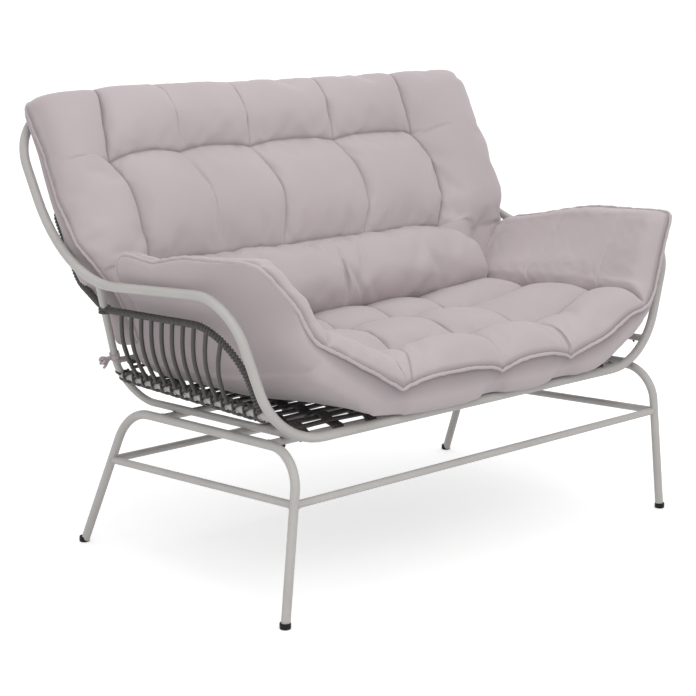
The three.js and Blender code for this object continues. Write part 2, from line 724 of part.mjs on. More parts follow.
// Arm pads lean against the inside of the arm rail and stand a little above it.
function addArmPads() {
  for (const side of sides) {
    const railAt = (y) => crossing(side.loop, 'y', Math.max(y, armCorner.y + armCorner.bend), false);
    const outer = (y, v) => {
      const rail = railAt(y);
      const rearShare = (y - armFrontY) / (armRearY - armFrontY);
      const topZ = armTopZ - armTopRearDrop * rearShare;
      const flare = armFlare * (1 - rearShare);
      const lean = Math.hypot(flare, topZ - rail.z) / (topZ - rail.z);
      const touchX = Math.abs(rail.x) - (loopTube / 2 + gap) * lean;
      const stops = [[armFootX, armFoot.outerZ], [touchX - armTuck, rail.z - armTuckDrop],
        [touchX, rail.z], [touchX + flare, topZ]];
      const place = v * (stops.length - 1);
      const i = Math.min(Math.floor(place), stops.length - 2);
      const share = place - i;
      return [stops[i][0] + (stops[i + 1][0] - stops[i][0]) * share,
        stops[i][1] + (stops[i + 1][1] - stops[i][1]) * share];
    };
    const under = (y, v) => {
      const [x, z] = outer(y, v);
      return new THREE.Vector3(side.sign * x, y, z);
    };
    const stops = [armFrontY, armRearY];
    const over = (y, v) => {
      const [x, z] = outer(y, v);
      const crown = armCrown * puff(y, stops) * puff(v, [0, 1]);
      const footShare = Math.max(0, 1 - v / armFootShare);
      const inset = (armThickness + crown) * (1 - footShare) + armFoot.width * footShare;
      const lift = (armFoot.innerZ - armFoot.outerZ) * footShare;
      return new THREE.Vector3(side.sign * (x - inset), y, z + lift);
    };
    const us = spread(armFrontY, armRearY, 2 * panelSteps);
    const vs = spread(0, 1, 2 * panelSteps + 1);
    addPiece(`${side.name}_arm_pad`, cushion(us, vs, under, over), 'cushion');
  }
}

// Cloth ties: a strap round each rear post with its knot on the outside.
function addTies() {
  for (const side of sides) {
    const middle = crossing(side.post, 'z', rearRailZ + tieRise, true);
    const top = crossing(side.post, 'z', rearRailZ + tieRise + tieWidth, true);
    const along = top.clone().sub(middle).normalize();
    const half = along.clone().multiplyScalar(tieWidth / 2);
    const path = straight(middle.clone().sub(half), middle.clone().add(half));
    const knot = new THREE.SphereGeometry(tieKnot, tubeSides, tubeSides / 2);
    const outward = new THREE.Vector3(side.sign, 0, 0);
    knot.translate(...middle.clone().addScaledVector(outward, railTube / 2 + tieKnot).toArray());
    const strap = solid(tube(path, railTube + 2 * (tieThickness + gap), thinSides)).add(solid(knot));
    const cut = clearOf(side.post, railTube);
    addPiece(`${side.name}_cushion_tie`, geometryOf(strap.subtract(cut)), 'cushion');
  }
}

addLoop();
addRails();
addHoops();
addBase();
addSidePanels();
addBackPanel();
addSeatPanel();
addSeatCushion();
addBackCushion();
addLumbarRoll();
addArmPads();
addTies();

// The origin is on the floor, midway between the front of the seat cushion and the back of the frame.
sofa.position.y = -(seatFrontY + topCorner.y + loopTube / 2) / 2;

export default sofa;
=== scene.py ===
# %% [markdown]
# # A rattan garden sofa
# The sofa is a welded tube frame on two leg hoops, with panels of round rattan and quilted cushions.
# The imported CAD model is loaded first. It gives the size and the place of every part, so the looks
# are built round it in the same frame, in metres, and nothing has to be fitted afterwards.

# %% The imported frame
import math
import random

import bmesh
import bpy
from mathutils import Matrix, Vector, noise


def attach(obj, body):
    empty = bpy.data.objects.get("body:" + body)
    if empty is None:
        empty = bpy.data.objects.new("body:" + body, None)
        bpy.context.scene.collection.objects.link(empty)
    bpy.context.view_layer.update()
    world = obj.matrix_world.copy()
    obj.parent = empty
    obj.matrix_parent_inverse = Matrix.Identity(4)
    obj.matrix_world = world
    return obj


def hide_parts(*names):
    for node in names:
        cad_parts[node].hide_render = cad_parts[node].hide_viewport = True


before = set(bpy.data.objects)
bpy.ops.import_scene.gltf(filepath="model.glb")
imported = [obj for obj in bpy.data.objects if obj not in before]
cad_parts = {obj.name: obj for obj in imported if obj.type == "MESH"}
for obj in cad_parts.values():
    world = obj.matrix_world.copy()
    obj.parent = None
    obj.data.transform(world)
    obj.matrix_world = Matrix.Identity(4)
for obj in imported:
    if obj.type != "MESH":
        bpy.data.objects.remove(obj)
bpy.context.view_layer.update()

# %% [markdown]
# The camera stands at the front left, a little above the sofa, with a long lens, as for a catalogue
# picture. It is made first.

# %% Camera
lens = bpy.data.cameras.new("camera")
lens.lens = 88.6
lens.sensor_width = 36
camera = bpy.data.objects.new("camera", lens)
camera.location = (-2.5847, -2.8146, 1.2288)
camera.rotation_euler = (math.radians(77.84), 0, math.radians(-42.09))
bpy.context.scene.collection.objects.link(camera)
bpy.context.scene.camera = camera
bpy.context.scene.view_settings.view_transform = "Standard"
print("camera at", tuple(round(v, 2) for v in camera.location))

# %% [markdown]
# The sofa is drawn in millimetres, as a workshop drawing is, and scaled to metres when a piece is
# finished. The drawing's zero lies 103 mm in front of the middle of the CAD frame.
# A route is a list of points: straight runs with round bends, as a tube bender makes them.

# %% Routes
MILLIMETRE = 0.001
DRAWING_SHIFT = Vector((0, -0.103, 0))


def bent(*corners, step=6):
    """Straight runs and round bends through corners given as (x, y, z) or (x, y, z, bend radius)."""
    points = [Vector(corner[:3]) for corner in corners]
    route = [points[0]]
    for before, corner, after, given in zip(points, points[1:], points[2:], corners[1:]):
        into, out = (corner - before).normalized(), (after - corner).normalized()
        turn = into.angle(out)
        start = corner - into * given[3] * math.tan(turn / 2)
        inward = (out - into * math.cos(turn)).normalized()
        steps = max(2, math.ceil(math.degrees(turn) / step))
        for k in range(steps + 1):
            angle = turn * k / steps
            route.append(start + (into * math.sin(angle) + inward * (1 - math.cos(angle))) * given[3])
    return route + [points[-1]]


def crossing(route, axis, value, last=False):
    """The first or the last place where a route passes a value of x, y or z."""
    found = []
    for a, b in zip(route, route[1:]):
        low, high = a["xyz".index(axis)], b["xyz".index(axis)]
        if (low - value) * (high - value) <= 0 and low != high:
            found.append(a.lerp(b, (value - low) / (high - low)))
    return found[-1 if last else 0]


# %% [markdown]
# Lengths are measured along a route, as with a tape. They space stations evenly, and the same lengths
# later carry the pattern along a strand, so the ribs and threads have their real size.

# %% Lengths and stations
def run_lengths(route):
    """How long the route is up to each of its points."""
    lengths = [0.0]
    for a, b in zip(route, route[1:]):
        lengths.append(lengths[-1] + (b - a).length)
    return lengths


def evenly(route, pitch):
    """The same route with stations at an even distance."""
    lengths = run_lengths(route)
    count = max(2, round(lengths[-1] / pitch))
    stations, k = [], 0
    for i in range(count + 1):
        at = lengths[-1] * i / count
        while k < len(route) - 2 and lengths[k + 1] < at:
            k += 1
        span = lengths[k + 1] - lengths[k]
        stations.append(route[k].lerp(route[k + 1], (at - lengths[k]) / span if span else 0))
    return stations


# %% [markdown]
# The sofa's frame is symmetrical, so one half is written down and the other is its mirror image.

# %% Loop and hoops
def mirrored(corners, side):
    """The same corners for the left side (-1) or the right side (1)."""
    return [(side * corner[0], *corner[1:]) for corner in corners]


# Corners of half the main loop and of a hoop, with their bend radii, and where the cross tubes lie.
LOOP = [(558, -267, 351, 164), (659, -248, 650, 99), (639, 332, 603, 295), (647, 521, 955, 132)]
HOOP = [(580.5, -312, 0), (540, -305, 345, 76), (540, 257, 322, 115), (573, 394, 0)]
FRONT_CROSS, MIDDLE_CROSS, REAR_CROSS = -212, -95, 140
loop = {side: bent((0, *LOOP[0][1:3]), *mirrored(LOOP, side), (0, *LOOP[3][1:3])) for side in (-1, 1)}
hoop = {side: bent(*mirrored(HOOP, side)) for side in (-1, 1)}
print("loop length per side:", round(run_lengths(loop[1])[-1]), "mm")

# %% [markdown]
# The rails between the loop and the posts are found as a welder finds them: each starts where its
# line meets a tube that is already there.

# %% Rails
# Radii of the loop, of the hoops, of the rails and cross tubes, and of the rear seat rail.
TUBE, LEG, RAIL, REAR = 10, 9.5, 8, 6.5
SIDE_RAIL_X, SIDE_RAIL_FRONT, SIDE_RAIL_REAR = 502, -267, 329
SEAT_RAIL_REAR_Z, SEAT_RAIL_FRONT_Z = 393, 406
BOUND_RAIL_Z, REAR_RAIL_Z = 556, 428
RIM = [(600, 340, 600, 60), (606, 420, 750, 30)]


def side_rail_z(y):
    """The lower side rail lies on the cross tubes."""
    front, rear = crossing(hoop[1], "y", FRONT_CROSS).z, crossing(hoop[1], "y", REAR_CROSS).z
    return front + (rear - front) * (y - FRONT_CROSS) / (REAR_CROSS - FRONT_CROSS) + 2 * RAIL + 0.3


post, seat_rail, bound_rail = {}, {}, {}
for side in (-1, 1):
    top = crossing(loop[side], "y", 200)
    post[side] = bent((side * SIDE_RAIL_X, SIDE_RAIL_FRONT, side_rail_z(SIDE_RAIL_FRONT)),
                      (side * SIDE_RAIL_X, SIDE_RAIL_REAR, side_rail_z(SIDE_RAIL_REAR), 75), tuple(top))
    seat_rail[side] = [crossing(post[side], "z", SEAT_RAIL_REAR_Z, last=True),
                       crossing(loop[side], "z", SEAT_RAIL_FRONT_Z)]
    bound_rail[side] = bent(tuple(crossing(post[side], "z", BOUND_RAIL_Z, last=True)),
                            (side * 628, -212, 580, 120), tuple(crossing(seat_rail[side], "y", -222)))
rim_ends = [crossing(post[side], "z", BOUND_RAIL_Z, last=True) for side in (-1, 1)]
rim = bent(tuple(rim_ends[0]), *mirrored(RIM, -1), *RIM[::-1], tuple(rim_ends[1]))
rear_rail = [crossing(post[side], "z", REAR_RAIL_Z, last=True) for side in (-1, 1)]
print("rear rail width:", round((rear_rail[1] - rear_rail[0]).length), "mm")

# %% [markdown]
# Each finish starts from a few shared effects, built once as node groups: a slow drift of the tone,
# as every dyed or painted surface has, and a fine grain that the light catches. A group only puts
# out colours and heights. The shader itself stays in each material, with its plain values set on it.

# %% Node helpers
def add(tree, kind, inputs=None, **settings):
    """One node, with its settings, and its inputs either linked or given a value."""
    made = tree.nodes.new(kind)
    for name, value in settings.items():
        setattr(made, name, value)
    for name, value in (inputs or {}).items():
        if isinstance(value, bpy.types.NodeSocket):
            tree.links.new(value, made.inputs[name])
        else:
            made.inputs[name].default_value = value
    return made


def effect(name, inputs, outputs):
    """An empty shared effect with its sockets, as (group, entry, exit)."""
    group = bpy.data.node_groups.new(name, "ShaderNodeTree")
    for label, kind, value in inputs:
        socket = group.interface.new_socket(label, in_out="INPUT", socket_type="NodeSocket" + kind)
        if value is not None:
            socket.default_value = value
    for label, kind in outputs:
        group.interface.new_socket(label, in_out="OUTPUT", socket_type="NodeSocket" + kind)
    return group, group.nodes.new("NodeGroupInput"), group.nodes.new("NodeGroupOutput")


# %% [markdown]
# Dye and paint are never quite even. The drift makes a colour a little lighter or darker over some
# ten centimetres. It is a wide noise, and it also gives that noise out, for a soft bump.

# %% Shared effect: tone drift
tone_drift, entry, way_out = effect(
    "tone drift", [("Vector", "Vector", None), ("Color", "Color", None), ("Scale", "Float", 8.0),
                   ("Amount", "Float", 0.1)], [("Color", "Color"), ("Mask", "Float")])
broad = add(tone_drift, "ShaderNodeTexNoise", {"Vector": entry.outputs["Vector"],
                                               "Scale": entry.outputs["Scale"], "Detail": 5.0})
spread = add(tone_drift, "ShaderNodeMapRange", {"Value": broad.outputs["Fac"], "From Min": 0.3,
                                                "From Max": 0.7, "To Min": -1.0, "To Max": 1.0})
strength = add(tone_drift, "ShaderNodeMath", {0: spread.outputs["Result"], 1: entry.outputs["Amount"]},
               operation="MULTIPLY")
gain = add(tone_drift, "ShaderNodeMath", {0: strength.outputs["Value"], 1: 1.0}, operation="ADD")
tinted = add(tone_drift, "ShaderNodeVectorMath", {0: entry.outputs["Color"], "Scale": gain.outputs["Value"]},
             operation="SCALE")
tone_drift.links.new(tinted.outputs["Vector"], way_out.inputs["Color"])
tone_drift.links.new(broad.outputs["Fac"], way_out.inputs["Mask"])
print("tone drift:", len(tone_drift.nodes), "nodes")

# %% [markdown]
# The grain is a much finer noise, given out as a height. A second noise makes the gloss uneven from
# place to place, because a perfectly even gloss looks unreal.

# %% Shared effect: fine grain
fine_grain, entry, way_out = effect(
    "fine grain", [("Vector", "Vector", None), ("Scale", "Float", 900.0), ("Roughness", "Float", 0.5),
                   ("Spread", "Float", 0.1)], [("Height", "Float"), ("Roughness", "Float")])
grain = add(fine_grain, "ShaderNodeTexNoise", {"Vector": entry.outputs["Vector"],
                                               "Scale": entry.outputs["Scale"], "Detail": 3.0})
uneven = add(fine_grain, "ShaderNodeTexNoise", {"Vector": entry.outputs["Vector"], "Scale": 14.0,
                                                "Detail": 4.0})
centred = add(fine_grain, "ShaderNodeMath", {0: uneven.outputs["Fac"], 1: 0.5}, operation="SUBTRACT")
change = add(fine_grain, "ShaderNodeMath", {0: centred.outputs["Value"], 1: entry.outputs["Spread"],
                                            2: entry.outputs["Roughness"]}, operation="MULTIPLY_ADD")
fine_grain.links.new(grain.outputs["Fac"], way_out.inputs["Height"])
fine_grain.links.new(change.outputs["Value"], way_out.inputs["Roughness"])
print("fine grain:", len(fine_grain.nodes), "nodes")

# %% [markdown]
# The cloth is a plain weave of spun outdoor yarn. Its threads run along the sheet, so the pattern
# reads the piece's own UV map, which holds the place on the cloth in metres. Two thread waves at
# right angles take turns on top, square by square, and make the small bumps of a weave.

# %% Shared effect: plain weave
plain_weave, entry, way_out = effect(
    "plain weave", [("Vector", "Vector", None), ("Threads", "Float", 700.0)],
    [("Height", "Float"), ("Slub", "Float")])
counted = add(plain_weave, "ShaderNodeVectorMath", {0: entry.outputs["Vector"],
                                                    "Scale": entry.outputs["Threads"]}, operation="SCALE")
split = add(plain_weave, "ShaderNodeSeparateXYZ", {"Vector": counted.outputs["Vector"]})
threads = []
for axis in ("X", "Y"):
    turn = add(plain_weave, "ShaderNodeMath", {0: split.outputs[axis], 1: math.pi}, operation="MULTIPLY")
    wave = add(plain_weave, "ShaderNodeMath", {0: turn.outputs["Value"]}, operation="SINE")
    threads.append(add(plain_weave, "ShaderNodeMath", {0: wave.outputs["Value"]}, operation="ABSOLUTE"))
squares = add(plain_weave, "ShaderNodeTexChecker", {"Vector": counted.outputs["Vector"], "Scale": 1.0,
                                                    "Color1": (1, 1, 1, 1), "Color2": (0, 0, 0, 1)})
on_top = add(plain_weave, "ShaderNodeMix", {"Factor": squares.outputs["Fac"],
                                            "A": threads[0].outputs["Value"],
                                            "B": threads[1].outputs["Value"]})
stretched = add(plain_weave, "ShaderNodeMapping", {"Vector": entry.outputs["Vector"],
                                                   "Scale": (18, 260, 1)})
slub = add(plain_weave, "ShaderNodeTexNoise", {"Vector": stretched.outputs["Vector"], "Scale": 1.0,
                                               "Detail": 3.0})
plain_weave.links.new(on_top.outputs["Result"], way_out.inputs["Height"])
plain_weave.links.new(slub.outputs["Fac"], way_out.inputs["Slub"])
print("shared effects:", [group.name for group in bpy.data.node_groups])

# %% [markdown]
# Every finish starts from the same shader, with its plain values set on it. A shared effect is one
# node beside it. A bump turns a height into a tilt of the surface, and two bumps can be stacked.

# %% Material helpers
def material(name, colour, roughness, **shader_values):
    """A material with its own shader. Values that are the same all over are set on the shader itself."""
    made = bpy.data.materials.new(name)
    made.use_nodes = True
    tree = made.node_tree
    shader = tree.nodes["Principled BSDF"]
    shader.inputs["Base Color"].default_value = (*colour, 1)
    shader.inputs["Roughness"].default_value = roughness
    for label, value in shader_values.items():
        shader.inputs[label.replace("_", " ")].default_value = value
    return made, tree, shader


def use(tree, group, inputs):
    """Places a shared effect in a material."""
    return add(tree, "ShaderNodeGroup", inputs, node_tree=group)


def bump(tree, shader, height, distance, strength, below=None):
    """A bump on the shader, over the one below if there is one."""
    made = add(tree, "ShaderNodeBump", {"Height": height, "Distance": distance, "Strength": strength})
    if below:
        tree.links.new(below, made.inputs["Normal"])
    tree.links.new(made.outputs["Normal"], shader.inputs["Normal"])
    return made.outputs["Normal"]


# %% [markdown]
# The frame is powder coated in a warm light grey. A powder coat has an even colour, a satin gloss
# and a very fine orange-peel grain.

# %% Powder coat, plastic and blackened steel
def coated(name, colour, roughness, grain_scale, drift, depth, **values):
    made, tree, shader = material(name, colour, roughness, **values)
    place = add(tree, "ShaderNodeTexCoord").outputs["Object"]
    tone = use(tree, tone_drift, {"Vector": place, "Color": (*colour, 1), "Scale": 9.0, "Amount": drift})
    grain = use(tree, fine_grain, {"Vector": place, "Scale": grain_scale, "Roughness": roughness,
                                   "Spread": 0.16})
    tree.links.new(tone.outputs["Color"], shader.inputs["Base Color"])
    tree.links.new(grain.outputs["Roughness"], shader.inputs["Roughness"])
    bump(tree, shader, grain.outputs["Height"], depth, 0.5)
    return made


powder_coat = coated("powder_coat", (0.445, 0.43, 0.415), 0.42, 1100.0, 0.05, 0.0002)
foot_plastic = coated("foot_plastic", (0.007, 0.007, 0.0075), 0.45, 1600.0, 0.2, 0.0001,
                      Specular_IOR_Level=0.2)
black_steel = coated("black_steel", (0.016, 0.016, 0.017), 0.34, 700.0, 0.25, 0.0001, Metallic=0.6)
print("coated finishes:", powder_coat.name, foot_plastic.name, black_steel.name)

# %% [markdown]
# The rattan is round and anthracite, with fine ribs along its length and a slightly different tone
# from strand to strand. The ribs read the UV map, which runs round and along each strand in metres,
# and the tone is an attribute that each strand gets when it is rolled.

# %% Rattan
rattan, tree, shader = material("rattan", (0.06, 0.06, 0.064), 0.5)
strand_place = add(tree, "ShaderNodeUVMap", uv_map="UVMap").outputs["UV"]
strand_tone = add(tree, "ShaderNodeAttribute", attribute_name="tone").outputs["Fac"]
rib_place = add(tree, "ShaderNodeMapping", {"Vector": strand_place, "Scale": (1500, 22, 1)})
ribs = add(tree, "ShaderNodeTexNoise", {"Vector": rib_place.outputs["Vector"], "Scale": 1.0, "Detail": 3.0})
dark_or_light = add(tree, "ShaderNodeMix", {0: ribs.outputs["Fac"], 6: (0.0235, 0.0215, 0.021, 1),
                                            7: (0.089, 0.0835, 0.082, 1)}, data_type="RGBA")
each_strand = add(tree, "ShaderNodeMath", {0: strand_tone, 1: 0.5, 2: 0.75}, operation="MULTIPLY_ADD")
strand_colour = add(tree, "ShaderNodeVectorMath", {0: dark_or_light.outputs[2],
                                                   "Scale": each_strand.outputs[0]}, operation="SCALE")
aged = use(tree, tone_drift, {"Vector": add(tree, "ShaderNodeTexCoord").outputs["Object"],
                              "Color": strand_colour.outputs["Vector"], "Scale": 16.0, "Amount": 0.12})
tree.links.new(aged.outputs["Color"], shader.inputs["Base Color"])
rough = add(tree, "ShaderNodeMapRange", {"Value": ribs.outputs["Fac"], "To Min": 0.42, "To Max": 0.62})
tree.links.new(rough.outputs["Result"], shader.inputs["Roughness"])
bump(tree, shader, ribs.outputs["Fac"], 0.0005, 0.6)
print("rattan:", len(tree.nodes), "nodes")

# %% [markdown]
# The cushion cloth is a pale rose-grey outdoor weave. Light grazes its short fibres, so it gets some
# sheen, set on the shader itself. The thread waves make the fine bump and paint shade into the gaps
# between threads, a slub makes single threads a little darker, and a wide soft noise makes the cloth
# lie slightly uneven over its filling. Where a seam folds the cloth into a crease, and beside the
# piping, a number kept at the points of the mesh paints shade into the colour.

# %% Cloth
# CREASE_SHADE is how dark the painted shade in a seam's crease makes the cloth
CLOTH_ROUGHNESS, CREASE_SHADE = 0.88, 0.58


def woven(name, colour, threads, slub_amount, unevenness):
    made, tree, shader = material(name, colour, CLOTH_ROUGHNESS, Sheen_Weight=0.25, Sheen_Roughness=0.5,
                                  Specular_IOR_Level=0.25)
    on_cloth = add(tree, "ShaderNodeUVMap", uv_map="UVMap").outputs["UV"]
    place = add(tree, "ShaderNodeTexCoord").outputs["Object"]
    weave = use(tree, plain_weave, {"Vector": on_cloth, "Threads": threads})
    # The weave's height paints shade into the colour: darker in the gaps between threads, a little lighter on
    # their tops
    painted_gap_shade = add(tree, "ShaderNodeMapRange", {"Value": weave.outputs["Height"], "To Min": 0.9, "To Max": 1.03})
    slubs = add(tree, "ShaderNodeMapRange", {"Value": weave.outputs["Slub"], "From Min": 0.3, "From Max": 0.7,
                                             "To Min": 1 - slub_amount, "To Max": 1 + slub_amount})
    slubs_and_gap_shade = add(tree, "ShaderNodeMath", {0: painted_gap_shade.outputs["Result"], 1: slubs.outputs["Result"]},
               operation="MULTIPLY")
    # Painted shade: the cloth is darker in seam creases and beside the piping, by a number kept on the mesh
    crease = add(tree, "ShaderNodeAttribute", attribute_name="crease_painted_shade")
    painted_crease_shade = add(tree, "ShaderNodeMapRange", {"Value": crease.outputs["Fac"], "To Min": 1.0,
                                            "To Max": CREASE_SHADE})
    slubs_and_painted_shade = add(tree, "ShaderNodeMath", {0: slubs_and_gap_shade.outputs["Value"], 1: painted_crease_shade.outputs["Result"]},
                operation="MULTIPLY")
    yarn_with_painted_shade = add(tree, "ShaderNodeVectorMath", {0: colour, "Scale": slubs_and_painted_shade.outputs["Value"]}, operation="SCALE")
    tone = use(tree, tone_drift, {"Vector": place, "Color": yarn_with_painted_shade.outputs["Vector"], "Scale": 5.0,
                                  "Amount": 0.035})
    tree.links.new(tone.outputs["Color"], shader.inputs["Base Color"])
    grain = use(tree, fine_grain, {"Vector": place, "Scale": 60.0, "Roughness": CLOTH_ROUGHNESS,
                                   "Spread": 0.1})
    tree.links.new(grain.outputs["Roughness"], shader.inputs["Roughness"])
    soft = bump(tree, shader, tone.outputs["Mask"], 0.01, unevenness)
    bump(tree, shader, weave.outputs["Height"], 0.0003, 0.5, below=soft)
    return made


cushion_cloth = woven("cushion_cloth", (0.525, 0.459, 0.474), 720.0, 0.05, 0.25)
piping_cloth = woven("piping_cloth", (0.535, 0.468, 0.483), 900.0, 0.05, 0.0)
print("cloth finishes:", cushion_cloth.name, piping_cloth.name)

# %% [markdown]
# The sofa stands on a plain pale floor. The floor goes white for the camera and for reflections,
# as a studio sweep does, and still keeps the sofa's soft shadow. Most of the light is an even sky,
# which is white to look at and a little darker as a light.

# %% Floor and world
def seen_directly(tree):
    """1 for what the camera sees straight, in a reflection or through glass, and 0 for other light."""
    path = add(tree, "ShaderNodeLightPath")
    seen = path.outputs["Is Camera Ray"]
    for ray in ("Is Glossy Ray", "Is Transmission Ray"):
        seen = add(tree, "ShaderNodeMath", {0: seen, 1: path.outputs[ray]}, operation="MAXIMUM").outputs[0]
    return seen


def stage_floor(size=30, glow=0.45):
    bm = bmesh.new()
    bmesh.ops.create_grid(bm, x_segments=1, y_segments=1, size=size)
    mesh = bpy.data.meshes.new("floor")
    bm.to_mesh(mesh)
    bm.free()
    floor = bpy.data.objects.new("floor", mesh)
    bpy.context.scene.collection.objects.link(floor)
    made, tree, shader = material("floor_paint", (0.8, 0.8, 0.8), 0.9)
    lit = add(tree, "ShaderNodeMath", {0: seen_directly(tree), 1: glow}, operation="MULTIPLY")
    shader.inputs["Emission Color"].default_value = (1, 1, 1, 1)
    tree.links.new(lit.outputs[0], shader.inputs["Emission Strength"])
    mesh.materials.append(made)


stage_floor()
world = bpy.data.worlds.new("studio")
bpy.context.scene.world = world
world.use_nodes = True
sky = world.node_tree
sky.nodes.clear()
level = add(sky, "ShaderNodeMapRange", {"Value": seen_directly(sky), "To Min": 0.8, "To Max": 1.0})
light = add(sky, "ShaderNodeBackground", {"Color": (1, 1, 1, 1), "Strength": level.outputs["Result"]})
sky.links.new(light.outputs["Background"], add(sky, "ShaderNodeOutputWorld").inputs["Surface"])
print("floor and world:", len(sky.nodes), "sky nodes")

# %% [markdown]
# Three lamps stand round the sofa. They are wide, so that their shadows are soft. The one high at
# the left front gives the cushions their form, the one above lifts their tops, and a low one at the
# left lights the outside of the arm.

# %% Lamps
def lamp(name, place, aim, size, power):
    """A round soft lamp that looks at a point. Its size is in metres and its power in watts."""
    light = bpy.data.lights.new(name, "AREA")
    light.shape, light.size, light.energy = "DISK", size, power
    made = bpy.data.objects.new(name, light)
    made.location = place
    made.rotation_euler = (Vector(aim) - Vector(place)).to_track_quat("-Z", "Y").to_euler()
    bpy.context.scene.collection.objects.link(made)


lamp("key_lamp", (-1.2, -2.6, 3.4), (0, 0, 0.5), 2.2, 34)
lamp("low_lamp", (-3.0, -2.0, 0.5), (0, 0, 0.5), 2.4, 15)
lamp("top_lamp", (0.6, 0.2, 3.2), (0, 0, 0.4), 2.6, 14)

# %% [markdown]
# Tubes, strands and piping are all rolled: a flat grid is wrapped round its route, like sheet metal
# rolled into pipe. A curve with a round bevel would be quicker, but it can't change its thickness
# along a strand so freely, or carry a UV map in metres and a tone for each strand.

# %% Directions along a route
def directions(route, closed=False):
    """The way the route runs at every station."""
    last = len(route) - 1
    ahead = []
    for k in range(last + 1):
        before = route[k - 1] if k else (route[last - 1] if closed else route[0])
        after = route[k + 1] if k < last else (route[1] if closed else route[last])
        ahead.append((after - before).normalized())
    return ahead


def sections(route, closed=False):
    """Two directions across the route at every station, turned as little as possible on the way."""
    ahead = directions(route, closed)
    across = ahead[0].orthogonal().normalized()
    made = []
    for k, way in enumerate(ahead):
        if k:
            across = across.copy()
            across.rotate(ahead[k - 1].rotation_difference(way))
        across = (across - way * across.dot(way)).normalized()
        made.append((across, way.cross(across)))
    return made


print("the first section of the loop looks along", tuple(round(v, 2) for v in sections(loop[1])[0][0]))


# %% [markdown]
# One direction of the grid goes round the tube and the other along it. On a closed route the section
# comes back a little turned. That slip is taken out evenly along the way, so the ends meet.

# %% Rolling
def rolled(bm, route, radius, sides=16, tone=0.5, closed=False):
    """Adds a round tube along a route. radius is one number, or one for each station."""
    last = len(route) - 1
    radii = radius if isinstance(radius, list) else [radius] * (last + 1)
    lengths = run_lengths(route)
    place = bm.loops.layers.uv.verify()
    tones = bm.verts.layers.float.get("tone") or bm.verts.layers.float.new("tone")
    sheet = bmesh.ops.create_grid(bm, x_segments=sides, y_segments=last, size=1)["verts"]
    frames = sections(route, closed)
    slip = 0.0  # how far the section has turned when a closed route comes back to its start
    if closed:
        (first, other), turned = frames[0], frames[-1][0]
        slip = math.atan2(turned.dot(other), turned.dot(first))
    for face in {face for vert in sheet for face in vert.link_faces}:
        for corner in face.loops:
            k = round((corner.vert.co.y + 1) / 2 * last)
            round_it = (corner.vert.co.x + 1) * math.pi * radii[k]
            corner[place].uv = (round_it * MILLIMETRE, lengths[k] * MILLIMETRE)
    for vert in sheet:
        k = round((vert.co.y + 1) / 2 * last)
        angle = (vert.co.x + 1) * math.pi - slip * k / last
        across, up = frames[k]
        vert.co = route[k] + (across * math.cos(angle) + up * math.sin(angle)) * radii[k]
        vert[tones] = tone


# %% [markdown]
# A piece is finished in the same way each time: the seams of its grids are merged, open ends are
# filled, the faces are turned outwards, and the drawing is scaled and moved into the frame. Then it
# is told which body it rides on and which imported parts it stands for.

# %% Handing over a piece
SEAM_GAP = 0.002


def made_piece(name, bm, finish, nodes, sharp=40):
    """Closes the seams, scales the drawing to metres and hands the piece over to the frame."""
    bmesh.ops.remove_doubles(bm, verts=bm.verts, dist=SEAM_GAP)
    bmesh.ops.holes_fill(bm, edges=[edge for edge in bm.edges if edge.is_boundary])
    bmesh.ops.recalc_face_normals(bm, faces=bm.faces)
    bmesh.ops.scale(bm, vec=(MILLIMETRE,) * 3, verts=bm.verts)
    bmesh.ops.translate(bm, vec=DRAWING_SHIFT, verts=bm.verts)
    mesh = bpy.data.meshes.new(name)
    bm.to_mesh(mesh)
    bm.free()
    mesh.shade_smooth()
    if sharp:
        mesh.set_sharp_from_angle(angle=math.radians(sharp))
    mesh.materials.append(finish)
    piece = bpy.data.objects.new(name, mesh)
    bpy.context.scene.collection.objects.link(piece)
    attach(piece, "root")
    if nodes:
        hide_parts(*nodes)
    print(name, len(mesh.polygons), "faces")
    return piece


# %% [markdown]
# The main loop is one long tube, bent in eight places and welded shut under the seat. It is rolled
# along the whole closed route at once, so no joint shows at the corners.

# %% Main loop
bm = bmesh.new()
whole_loop = loop[1] + loop[-1][::-1][1:]
rolled(bm, whole_loop, TUBE, sides=24, closed=True)
made_piece("main_loop", bm, powder_coat, ["front_rail", "back_rail", "left_side_loop", "right_side_loop"])

# %% [markdown]
# Where one tube ends on another there is a weld: a thin bead that follows the saddle where the two
# surfaces meet. It is rolled like a tube, round a ring whose points are pushed along the branch
# until they touch the main tube.

# %% Welds
def weld(bm, joint, branch, main, branch_radius, main_radius, bead=1.7, beads=24):
    """A rippled bead where a branch that comes along its axis meets a tube through joint."""
    branch, main = branch.normalized(), main.normalized()
    across = branch.orthogonal().normalized()
    up = branch.cross(across)
    ring = []
    for k in range(beads + 1):
        angle = 2 * math.pi * (k % beads) / beads
        start = (across * math.cos(angle) + up * math.sin(angle)) * branch_radius
        flat_start, flat_branch = start - main * start.dot(main), branch - main * branch.dot(main)
        a, b = flat_branch.length_squared, flat_start.dot(flat_branch)
        c = flat_start.length_squared - main_radius ** 2
        reach = (-b + math.sqrt(max(b * b - a * c, 0))) / a if a > 1e-6 else 0
        ring.append(joint + start + branch * reach)
    ripple = [bead * (1 + 0.18 * math.sin(9 * k)) for k in range(beads)] + [bead]
    rolled(bm, ring, ripple, sides=8, closed=True)


def tube(node, route, radius, welds=(), sides=20):
    """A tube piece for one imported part, with its beads."""
    bm = bmesh.new()
    rolled(bm, route, radius, sides)
    for joint in welds:
        weld(bm, *joint)
    made_piece(node + "_tube", bm, powder_coat, [node])


